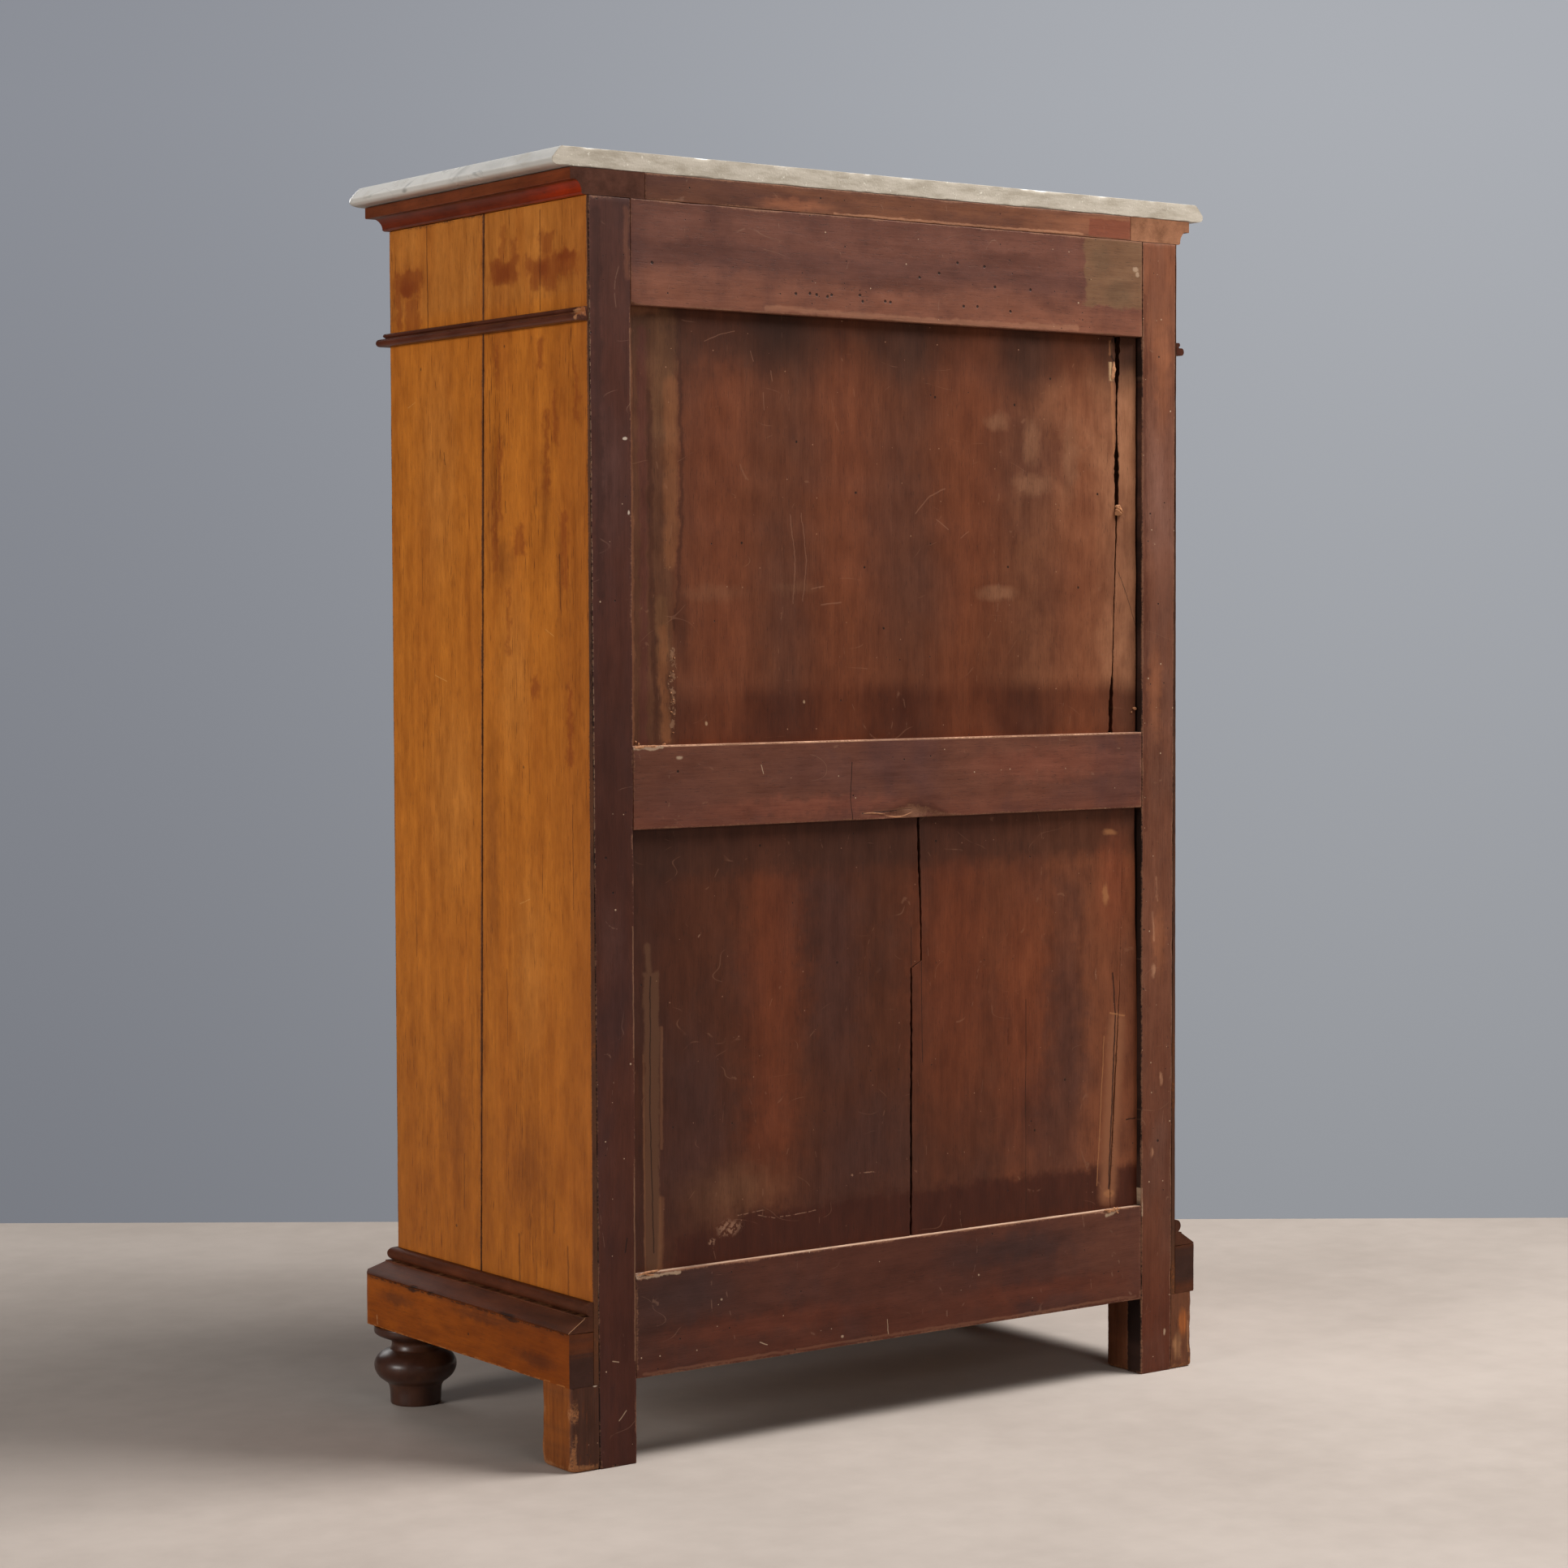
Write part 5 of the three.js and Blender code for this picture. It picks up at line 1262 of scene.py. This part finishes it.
def moulding(node, material, profile, look):
    # Rows go from the mitre to the back, or from mitre to mitre on the front. A
    # rounded plan corner holds a point's distance out to that of the arc.
    part = node.rsplit("_", 1)[1]
    out, height = profile[:, 0], profile[:, 1]
    radius, reach, seed, pitch = look.get("corner", 0), out.max(), look["seed"], 6
    mitreOut = np.minimum(out, reach - radius * (1 - math.sqrt(0.5)))

    def held(distance):
        # the most that a point may stand out, this far beyond the body's corner
        beyond = np.clip(distance - (reach - radius), 0, radius)
        return reach - radius + np.sqrt(np.maximum(radius ** 2 - beyond ** 2, 0))

    if part == "front":
        ends = halfWidth + mitreOut
        share = np.linspace(-1, 1, math.ceil(2 * halfWidth / pitch))
        if radius:
            close = np.linspace(0, 0.08, 16)
            share = np.unique(np.round(np.concatenate([share, 1 - close, close - 1]), 6))
        run = share[:, None] * ends[None, :]
        outward = np.minimum(out[None, :], held(np.abs(run) - halfWidth))
    else:
        start = frontY - mitreOut + 0.4
        share = np.linspace(0, 1, math.ceil((backY - frontY) / pitch))
        if radius:
            share = np.unique(np.round(np.concatenate([share, np.linspace(0, 0.12, 16)]), 6))
        run = start[None, :] + share[:, None] * (backY - start)[None, :]
        outward = np.minimum(out[None, :], held(frontY - run))
    loose = np.clip(outward - 2, 0, 4) / 4
    level = np.broadcast_to(height, outward.shape)
    outward = outward + loose * 0.15 * (ripple(run, level, 60, seed) - 1)
    wear = np.zeros(outward.shape)
    for at, centre, length, tall, sink in look.get("chips", ()):
        spot = ((run - at) / length) ** 2 + ((level - centre) / tall) ** 2
        mask = np.clip(1.3 - spot + 0.4 * ripple(run, level, 5, seed + 9), 0, 1)
        outward = outward - loose * sink * mask
        wear = np.maximum(wear, mask)
    if part == "front":
        rings = np.stack([run, frontY - outward, level], -1)
    else:
        sign = 1 if part == "right" else -1
        rings = np.stack([sign * (halfWidth + outward), run, level], -1)
    return makePiece(node + "_worn", node, rings, wear, material)


corniceLo, corniceHi = box("cornice_right")
corniceOut = corniceHi[0] - halfWidth
corniceShape = {"width": 100, "fascia": 11.5, "step": 4, "bead": 4.5, "ease": 2.0, "fillet": 1.6}


def corniceProfile(shape):
    # flat top, fascia, cove, and a fillet and bead at the foot
    low, high = corniceLo[2], corniceHi[2]
    foot = high - shape["fascia"] - shape["ease"]
    coveOut, coveIn = corniceOut - shape["step"], shape["bead"] + shape["fillet"]
    radii = coveOut - coveIn, foot - low - shape["fillet"]
    cove = arc((coveOut, low + shape["fillet"]), radii, 178, 92, 12)
    corners = rounded([
        [corniceOut, foot], [corniceOut, high - 0.4], [corniceOut - shape["width"], high],
        [corniceOut - shape["width"], low], [shape["bead"], low], [coveIn, low + shape["fillet"]],
    ], 0.8)
    return np.concatenate([corners, cove])


waistLo, waistHi = box("waist_moulding_right")
waistOut = waistHi[0] - halfWidth
waistShape = {"nose": 4, "bead": 5, "beadOut": 6.5, "groove": 1.5, "grooveDepth": 2}


def waistProfile(shape):
    # a half-round nose, a groove and a bead
    low, high = waistLo[2], waistHi[2]
    noseTop = high - shape["bead"] - shape["groove"]
    half, grooveOut = shape["bead"] / 2, shape["beadOut"] - shape["grooveDepth"]
    radii = shape["nose"], (noseTop - low) / 2
    nose = arc((waistOut - shape["nose"], (low + noseTop) / 2), radii, -85, 85, 10)
    bead = arc((shape["beadOut"] - half, high - half), (half, half), -80, 88, 9)
    groove = [[grooveOut, noseTop], [grooveOut, noseTop + shape["groove"]]]
    foot = [[jointGap, low + 0.2], [shape["beadOut"], low]]
    return np.concatenate([foot, nose, groove, bead, [[jointGap, high]]])


plinthLo, plinthHi = box("plinth_right")
plinthOut = plinthHi[0] - halfWidth
capLo, capHi = box("plinth_cap_right")
capShape = {"lip": 1.6, "slope": 17, "fillet": 2, "filletOut": 11.5, "torus": 10}


def capProfile(shape):
    # a lip, a slope, a fillet and a torus
    low, filletTop, out = capLo[2], capLo[2] + shape["slope"], shape["filletOut"]
    half = (capHi[2] - filletTop) / 2
    torus = arc((shape["torus"] - half, filletTop + half), (half, half), -78, 88, 14)
    edge = rounded([[plinthOut - 6, low], [plinthOut, low], [plinthOut, low + shape["lip"]]], 0.6)
    filletFoot = filletTop - shape["fillet"]
    slope = np.linspace([plinthOut - 1.2, low + shape["lip"] + 0.5], [out + 0.5, filletFoot + 0.1], 6)
    fillet = [[out, filletFoot + 0.5], [out, filletTop - 0.4], [out - 0.4, filletTop]]
    return np.concatenate([[[jointGap, low]], edge[1:], slope, fillet, torus, [[jointGap, capHi[2]]]])


def plinthProfile():
    # a flat board with its arrises rounded
    low, high = plinthLo[2], plinthHi[2]
    face = np.stack([np.full(12, plinthOut), np.linspace(low + 2, high - 2, 12)], -1)
    foot = rounded([[jointGap, high], [jointGap, low], [plinthOut, low]], 0.9)
    head = rounded([[plinthOut, high - 2], [plinthOut, high], [jointGap + 2, high]], 0.9)[4:8]
    return np.concatenate([foot, face, head])


mouldings = [  # name, slot, profile, wood on the front, right and left, first seed and the rest
    ("cornice_", "moulding_wood", corniceProfile(corniceShape),
     (corniceFrontWood, corniceWood, corniceLeftWood), {"seed": 51}),
    ("waist_moulding_", "moulding_wood", waistProfile(waistShape),
     (waistFrontWood, waistWood, waistWood), {"seed": 61}),
    ("plinth_", "plinth_wood", plinthProfile(),
     (plinthFrontWood, plinthSideWood, plinthSideWood), {"seed": 71, "corner": 16}),
    ("plinth_cap_", "moulding_wood", capProfile(capShape),
     (capFrontWood, capWood, capWood), {"seed": 81, "corner": 16}),
]
mouldingChips = {"waist_moulding_right": [(236, 1318, 9, 6, 3.0)]}
for number, part in enumerate(("front", "right", "left")):
    for name, slot, profile, woods, look in mouldings:
        node = name + part
        moulding(node, woods[number], profile,
                 {**look, "seed": look["seed"] + number, "chips": mouldingChips.get(node, ())})

wornRail("cornice_rear_rail", corniceRailWood, {"seed": 91})


# Marble: the edge's profile of [inset, height] round a plan with rounded front corners
marbleLo, marbleHi = box("marble_top")
marbleLook = {"corner": 30, "bevelRun": 12.6, "bevelDrop": 13, "nose": 3.6, "undercut": 8.5, "rise": 2.6}


def marbleTop(look):
    # rings of the plan, one for each point of the edge; the sawn rear face is chipped along its arrises
    top, bottom = marbleHi[2], marbleLo[2]
    noseTop = top - look["bevelDrop"]
    run, drop, under, nose = look["bevelRun"], look["bevelDrop"], look["undercut"], look["nose"]
    edge = [
        [under + 2, bottom], [under, bottom], [under * 0.7, bottom + 0.35], [under * 0.45, bottom + 1.04],
        [under * 0.22, bottom + 1.9], [under * 0.1, bottom + look["rise"]], [0.2, bottom + 3.7],
        [0, noseTop - nose * 0.8], [0, noseTop - nose * 0.35], [0.35, noseTop + 0.1], [1.26, noseTop + 0.8],
        [run * 0.3, noseTop + drop * 0.31], [run * 0.55, noseTop + drop * 0.6],
        [run * 0.8, noseTop + drop * 0.83], [run - 0.5, top - 0.35], [run + 0.6, top - 0.05], [run + 3, top]]
    half, front, back = marbleHi[0], marbleLo[1], marbleHi[1]
    radius = look["corner"]
    leftArc = arc((-half + radius, front + radius), (radius, radius), 180, 270, 14)
    rightArc = leftArc[::-1] * [-1, 1]
    sideRun = np.linspace(back, front + radius, 90)[:-1]
    frontRun = np.linspace(-half + radius, half - radius, 150)[1:-1]
    rearRun = np.linspace(half, -half, 320)
    plan = np.concatenate([
        np.stack([np.full_like(sideRun, -half), sideRun], -1), leftArc,
        np.stack([frontRun, np.full_like(frontRun, front)], -1), rightArc,
        np.stack([np.full_like(sideRun, half), sideRun[::-1]], -1),
        np.stack([rearRun, np.full_like(rearRun, back)], -1)[1:-1],
    ])
    # inward directions: from the centre of each rounded corner, and square on the straight runs
    centreX = np.clip(plan[:, 0], -half + radius, half - radius)
    inward = np.stack([centreX - plan[:, 0], np.maximum(front + radius - plan[:, 1], 0)], -1)
    rear = (plan[:, 1] >= back - 1e-6) & (np.abs(plan[:, 0]) < half - 1e-6)
    length = np.maximum(np.linalg.norm(inward, axis=1, keepdims=True), 1e-6)
    inward = np.where(rear[:, None], 0, inward / length)
    rings = []
    for inset, z in edge:
        ring = plan + inward * inset
        # the sawn rear face keeps the slab's full length and has small chips along both arrises
        limit = half - inset
        ring[:, 0] = np.where(rear, np.clip(ring[:, 0], -limit, limit), ring[:, 0])
        small, large = ripple(plan[:, 0], 0, 37, 5), ripple(plan[:, 0], 0, 90, 6) - 0.55
        chip = 0.5 + 1.1 * np.clip(small, 0, 1) + 2.2 * np.clip(large, 0, 1)
        share = np.clip(1 - np.minimum(top - z, z - bottom) / chip, 0, 1)
        ring[:, 1] = np.where(plan[:, 1] >= back - 1e-6, back - chip * share ** 2, ring[:, 1])
        rings.append(np.stack([ring[:, 0], ring[:, 1], np.full(len(ring), z)], -1))
    wear = np.broadcast_to(np.where(rear, 1.0, 0.0), (len(rings), len(plan)))
    return makePiece("marble_top_slab", "marble_top", np.array(rings), wear, marbleStone)


marbleTop(marbleLook)


# Rear feet: an L-shaped block round the foot of each stile, worn round at the floor
blockLo, blockHi = box("rear_foot_block_right")
blockLook = {"corner": 7.0, "worn": 5.0}


def footBlock(side, sign, seed):
    # rings of an L round the stile, drawn in at the floor, with each corner cut by its own radius
    outer, inner = blockHi[0], blockLo[0]
    front, back = blockLo[1], backY
    slot = frameFront - jointGap
    z, inset = along(0, blockHi[2], 3.5, blockLook["worn"])
    inset = np.where(z > 50, 0, inset)
    lip = stileFoot + lean * z + jointGap
    corners = np.array([
        [[inner + shrink, front + shrink], [outer - shrink, front + shrink], [outer - shrink, back - shrink],
         [edge, back - shrink], [edge, slot], [inner + shrink, slot]] for edge, shrink in zip(lip, inset)])
    radii = np.array([2.0, blockLook["corner"], blockLook["corner"], 0.8, 0.3, 1.0])[None, :, None]
    curve, first, last = cutCorners(corners, radii * (1 + 0.35 * ripple(z, 0, 30, seed)[:, None, None]), 5)
    share = np.array([0.02, 0.06, 0.15, 0.35, 0.65, 0.85, 0.94, 0.98])[:, None]
    face = last + (np.roll(first, -1, axis=1) - last) * share
    outline = np.concatenate([curve, face], axis=2).reshape(len(z), -1, 2)
    level = np.broadcast_to(z[:, None], outline.shape[:2])
    rings = np.stack([sign * outline[..., 0], outline[..., 1], level], -1)
    worn = np.array([0, 0.8, 1, 0.6, 0, 0])[:, None] * [*np.ones(6), 0.7, 0.3, 0, 0, 0, 0, 0, 0]
    rise = np.clip(0.3 + 0.7 * np.clip(1 - z / 45, 0, 1) + 0.25 * ripple(z, 0, 25, seed + 4), 0, 1)
    wear = np.maximum(worn.reshape(1, -1) * rise[:, None], np.clip(1 - z / 12, 0, 1)[:, None])
    node = "rear_foot_block_" + side
    wood = rightFootWood if sign > 0 else leftFootWood
    return makePiece(node + "_worn", node, rings, wear, wood)


footBlock("right", 1, 101)
footBlock("left", -1, 102)


# Splinters, crumbs and loose bits: slim bodies on a face seen from behind
def splinters(name, node, material, plane, bits, seed):
    # bits: the ends' distances from the middle and heights, then the width and the thickness
    dice = np.random.default_rng(seed)
    bits = np.array(bits, float)
    count, t, turn = len(bits), np.linspace(0, 1, 9), np.linspace(0, 2 * np.pi, 7)[:-1]
    start, run = bits[:, None, :2], (bits[:, 2:4] - bits[:, :2])[:, None]
    side = np.stack([-run[..., 1], run[..., 0]], -1) / np.linalg.norm(run, axis=2, keepdims=True)
    bow = dice.uniform(-0.1, 0.1, (count, 1)) * np.linalg.norm(run, axis=2) * np.sin(np.pi * t)
    taper = (0.04 + np.sin(np.pi * t) ** 0.5) * (1 + 0.3 * dice.uniform(-1, 1, (count, len(t))))
    middle = start + run * t[None, :, None] + side * bow[..., None]
    half, thick = bits[:, 4, None] / 2 * taper, bits[:, 5, None] * taper
    place = middle[:, :, None] + side[:, :, None] * (half[..., None] * np.cos(turn))[..., None]
    depth = plane + thick[..., None] * (0.4 + 0.6 * np.sin(turn))
    rings = np.stack([place[..., 0], depth, place[..., 1]], -1)
    return makePiece(name, node, rings, np.zeros(depth.shape), material)


def scattered(count, low, high, size, seed):
    # crumbs at random places in a rectangle, each a short thick bit
    dice = np.random.default_rng(seed)
    at = dice.uniform(low, high, (count, 2))
    reach = dice.uniform(0.5, 1.0, (count, 1)) * size
    turn = dice.uniform(0, 2 * np.pi, (count, 1))
    way = np.concatenate([np.cos(turn), np.sin(turn)], 1)
    return np.concatenate([at, at + reach * way, reach * 0.8, reach * 0.45], 1)


rawWood = woodMaterial("raw splinters",
    {**frameBase, "grain": "z", "base": (176, 134, 102), "cloud": ((140, 98, 70), 0.7),
        "cloudSize": (0.2, 0.2, 1)})
splinters("back_panel_upper_crumbs", "back_panel_upper", rawWood, upperHi[1], [
    *scattered(14, (325, 838), (333, 930), 2.4, 1), *scattered(5, (336, 826), (392, 832), 4.0, 3),
    *scattered(3, (-388, 852), (-381, 862), 5.0, 4), [-352, 1102, -360, 1113, 11, 5],
    [-351, 1113, -361, 1110, 6, 5], [-346, 1271, -350, 1296, 6, 1.4]], 5)
splinters("back_rail_middle_splinters", "back_rail_middle", rawWood, railMiddleHi[1] - 0.6, [
    [389, 826, 352, 826.5, 2.0, 1.0], [388, 824, 372, 825, 3.5, 1.4], [371, 826, 356, 824, 2.0, 1.0],
    [62, 738, 24, 736, 1.5, 1.0], [26, 735, -18, 738, 1.3, 0.9]], 6)
splinters("back_rail_bottom_splinters", "back_rail_bottom", rawWood, railMiddleHi[1] - 0.6, [
    [389, 217, 356, 220, 3.0, 1.4], [380, 220, 362, 216, 2.4, 1.2], [-326, 219, -346, 216, 3.5, 1.6],
    [-338, 220, -356, 219, 2.2, 1.2], [-346, 218, -352, 212, 2.2, 1.0],
    *scattered(6, (-350, 216), (-330, 219), 4.0, 7)], 8)


# Turned pieces: [radius, height] along the axis, smoothed, then spun
def turned(name, node, material, profile, centre, axis, segments=96):
    turn = np.linspace(0, 2 * np.pi, segments, endpoint=False)
    radius, rise = profile[:, 0], profile[:, 1]
    ringX, ringY = radius[:, None] * np.cos(turn), radius[:, None] * np.sin(turn)
    level = np.broadcast_to(rise[:, None], ringX.shape)
    if axis == "z":
        rings = np.stack([centre[0] + ringX, centre[1] + ringY, centre[2] + level], -1)
    else:
        rings = np.stack([centre[0] + ringX, centre[1] - level, centre[2] + ringY], -1)
    return makePiece(name, node, rings, np.zeros(level.shape), material)


def flowing(points, steps):
    # a Catmull-Rom curve through the points
    points = np.asarray(points, float)
    padded = np.concatenate([points[:1], points, points[-1:]])
    t = np.linspace(0, 1, steps, endpoint=False)[None, :, None]
    a, b, c, d = (padded[i:len(padded) - 3 + i][:, None] for i in range(4))
    square, cube = 2 * a - 5 * b + 4 * c - d, 3 * b - a - 3 * c + d
    curve = 0.5 * (2 * b + (c - a) * t + square * t ** 2 + cube * t ** 3)
    return np.concatenate([curve.reshape(-1, 2), points[-1:]])


bunShape = [  # share of the greatest radius, share of the height
    (0.585, 0.0), (0.608, 0.012), (0.615, 0.05), (0.62, 0.12), (0.628, 0.18), (0.65, 0.235),
    (0.7, 0.276), (0.79, 0.31), (0.9, 0.36), (0.97, 0.42), (1.0, 0.485), (0.985, 0.55), (0.92, 0.61),
    (0.82, 0.655), (0.71, 0.682), (0.635, 0.694), (0.61, 0.705), (0.59, 0.73), (0.575, 0.765),
    (0.585, 0.795), (0.64, 0.825), (0.76, 0.85), (0.9, 0.88), (0.98, 0.91), (1.0, 0.94),
    (1.0, 0.985), (0.985, 1.0),
]
for side, sign in (("right", 1), ("left", -1)):
    lo, hi = box("bun_foot_" + side)
    greatest, tall = (hi[0] - lo[0]) / 2, hi[2] - lo[2]
    profile = flowing(np.array(bunShape) * [greatest, tall], 5)
    profile[:, 0] = np.minimum(profile[:, 0], greatest)
    turned("bun_foot_" + side + "_turned", "bun_foot_" + side, turnedWood, profile,
           ((lo[0] + hi[0]) / 2, (lo[1] + hi[1]) / 2, 0), "z")

knobShape = [  # radius, distance forward of the drawer front
    (6.4, -19.8), (6.5, -19.4), (6.5, 0.35), (12.0, 0.4), (12.3, 1.2), (12.0, 2.6), (10.6, 3.6),
    (9.0, 4.8), (8.0, 6.6), (7.9, 9.0), (8.4, 11.0), (10.4, 12.4), (14.0, 13.4), (16.4, 14.9),
    (17.5, 17.2), (17.2, 19.8), (15.9, 22.4),
    (13.4, 25.2), (9.6, 27.4), (5.0, 28.6), (1.2, 29.0), (0.3, 29.0),
]
for number in range(2, 6):
    for side in ("left", "right"):
        node = f"drawer_{number}_knob_{side}"
        lo, hi = box(node)
        turned(node + "_turned", node, turnedWood, np.array(knobShape),
               ((lo[0] + hi[0]) / 2, frontY, (lo[2] + hi[2]) / 2), "y", segments=64)


# Plainer boards: a merged copy of the solid with its arrises eased
def easedCopy(node, material, width):
    mesh = frame["nodes"][node].data.copy()
    shape = bmesh.new()
    shape.from_mesh(mesh)
    bmesh.ops.remove_doubles(shape, verts=shape.verts, dist=1e-6)
    bmesh.ops.dissolve_limit(shape, angle_limit=math.radians(1), verts=shape.verts, edges=shape.edges)
    shape.to_mesh(mesh)
    shape.free()
    markShift(mesh, node)
    mesh.materials.clear()
    mesh.materials.append(material)
    piece = shown(node + "_eased", mesh)
    bevel = piece.modifiers.new("arris", "BEVEL")
    bevel.width, bevel.segments = width / 1000, 2
    bevel.limit_method, bevel.angle_limit = "ANGLE", math.radians(40)
    return seat(piece, node)


for number in range(1, 6):
    easedCopy(f"drawer_{number}_front", drawerFrontWood, 0.9)
    easedCopy(f"drawer_{number}_box", insideWood, 0.5)
    easedCopy(f"drawer_{number}_bottom", crossWood, 0.4)
for number in range(1, 5):
    easedCopy(f"drawer_divider_{number}", dividerWood, 0.6)
easedCopy("carcass_bottom", insideWood, 0.6)
for side in ("left", "right"):
    easedCopy("front_post_" + side, postWood, 0.8)
print("pieces ready")


# Stage: a pale floor, a wall behind it that only the camera sees from the front and that glows with painted
# light, and soft lamps
stageLook = {
    "wallBeyond": 1195,  # from the origin, along the line of sight
    "wallHeight": 12000,
    "floorHalf": 30000,
    "lamps": [  # name, place, aim, size, power in watts, colour
        ("overhead", (-1800, 1500, 4200), (0, 0, 700), (2000, 2000), 262, (1.0, 0.99, 0.97)),
        ("left", (7100, 500, 2000), (300, 0, 800), (2400, 1800), 268, (1.0, 0.98, 0.95)),
        ("behind", (1200, 5600, 2600), (0, 0, 750), (2600, 1800), 45, (1.0, 0.99, 0.98)),
        ("front", (-600, -5700, 2600), (0, 0, 750), (2400, 1600), 36, (1.0, 0.99, 0.98)),
    ],
    "world": 0.065,
}


def makeStage(look):
    level = Vector((lineOfSight.x, lineOfSight.y, 0)).normalized()
    sideways = Vector((-level.y, level.x, 0))
    half = look["floorHalf"] / 1000
    floor = [(-half, -half, 0), (half, -half, 0), (half, half, 0), (-half, half, 0)]
    middle = level * look["wallBeyond"] / 1000
    top = Vector((0, 0, look["wallHeight"] / 1000))
    left, right = middle - sideways * half, middle + sideways * half
    wall = [left + top, right + top, right, left]
    floorMaterial, graph, shader = newMaterial("floor")
    place = graph.place()
    cloud = graph.noise(place, 0.0016, 4, 0.55)
    fleck = graph.noise(place, 0.02, 3, 0.6)
    tone = graph.blendValue(0.25, cloud, fleck)
    colour = graph.mix(graph.smooth(tone, 0.3, 0.7), (176, 164, 155), (194, 182, 173))
    graph.send(shader.inputs, {"Base Color": colour, "Roughness": 0.7})
    wallMaterial = bpy.data.materials.new("wall")
    wallMaterial.use_nodes = True
    wallMaterial.node_tree.nodes.clear()
    graph = Graph(wallMaterial.node_tree)
    place = graph.place()
    rightwards = graph.vector("DOT_PRODUCT", place, tuple(-sideways))
    upwards = graph.vector("DOT_PRODUCT", place, (0, 0, 1))
    # the wall lights itself: a painted pool of light, brighter to the right, with painted shade towards the
    # floor
    glow = graph.mix(graph.smooth(rightwards, -1600, 1100), (138, 141, 149), (171, 174, 180))
    glow = graph.mix(graph.stretch(upwards, 1800, 0, 0.0, 0.27), glow, (0, 0, 0, 1))
    shine = graph.add("ShaderNodeEmission", {"Color": glow, "Strength": 1.0})[0]
    clear = graph.add("ShaderNodeBsdfTransparent")[0]
    behind = graph.add("ShaderNodeNewGeometry")["Backfacing"]
    both = graph.add("ShaderNodeMixShader", {0: behind, 1: shine, 2: clear})[0]
    graph.add("ShaderNodeOutputMaterial", {"Surface": both})
    for name, corners, material in (("floor", floor, floorMaterial), ("wall", wall, wallMaterial)):
        mesh = bpy.data.meshes.new(name)
        mesh.from_pydata(corners, [], [(0, 1, 2, 3)])
        mesh.materials.append(material)
        piece = shown(name, mesh)
    piece.visible_diffuse = piece.visible_glossy = piece.visible_transmission = False
    piece.visible_shadow = piece.visible_volume_scatter = False
    for name, place, aim, size, power, colour in look["lamps"]:
        lamp = bpy.data.lights.new(name, "AREA")
        lamp.shape, lamp.size, lamp.size_y = "RECTANGLE", size[0] / 1000, size[1] / 1000
        lamp.energy, lamp.color = power, colour
        light = shown(name, lamp)
        light.location = Vector(place) / 1000
        light.rotation_mode = "QUATERNION"
        light.rotation_quaternion = (Vector(aim) - Vector(place)).to_track_quat("-Z", "Y")
    world = bpy.data.worlds.new("room")
    world.use_nodes = True
    world.node_tree.nodes.clear()
    graph = Graph(world.node_tree)
    seen = graph.add("ShaderNodeLightPath")["Is Camera Ray"]
    room = graph.add("ShaderNodeBackground", {"Color": (1, 1, 1, 1), "Strength": look["world"]})[0]
    backdrop = graph.add("ShaderNodeBackground", {"Color": (156, 165, 176), "Strength": 1.0})[0]
    both = graph.add("ShaderNodeMixShader", {0: seen, 1: room, 2: backdrop})[0]
    graph.add("ShaderNodeOutputWorld", {"Surface": both})
    bpy.context.scene.world = world


makeStage(stageLook)
print("stage ready")
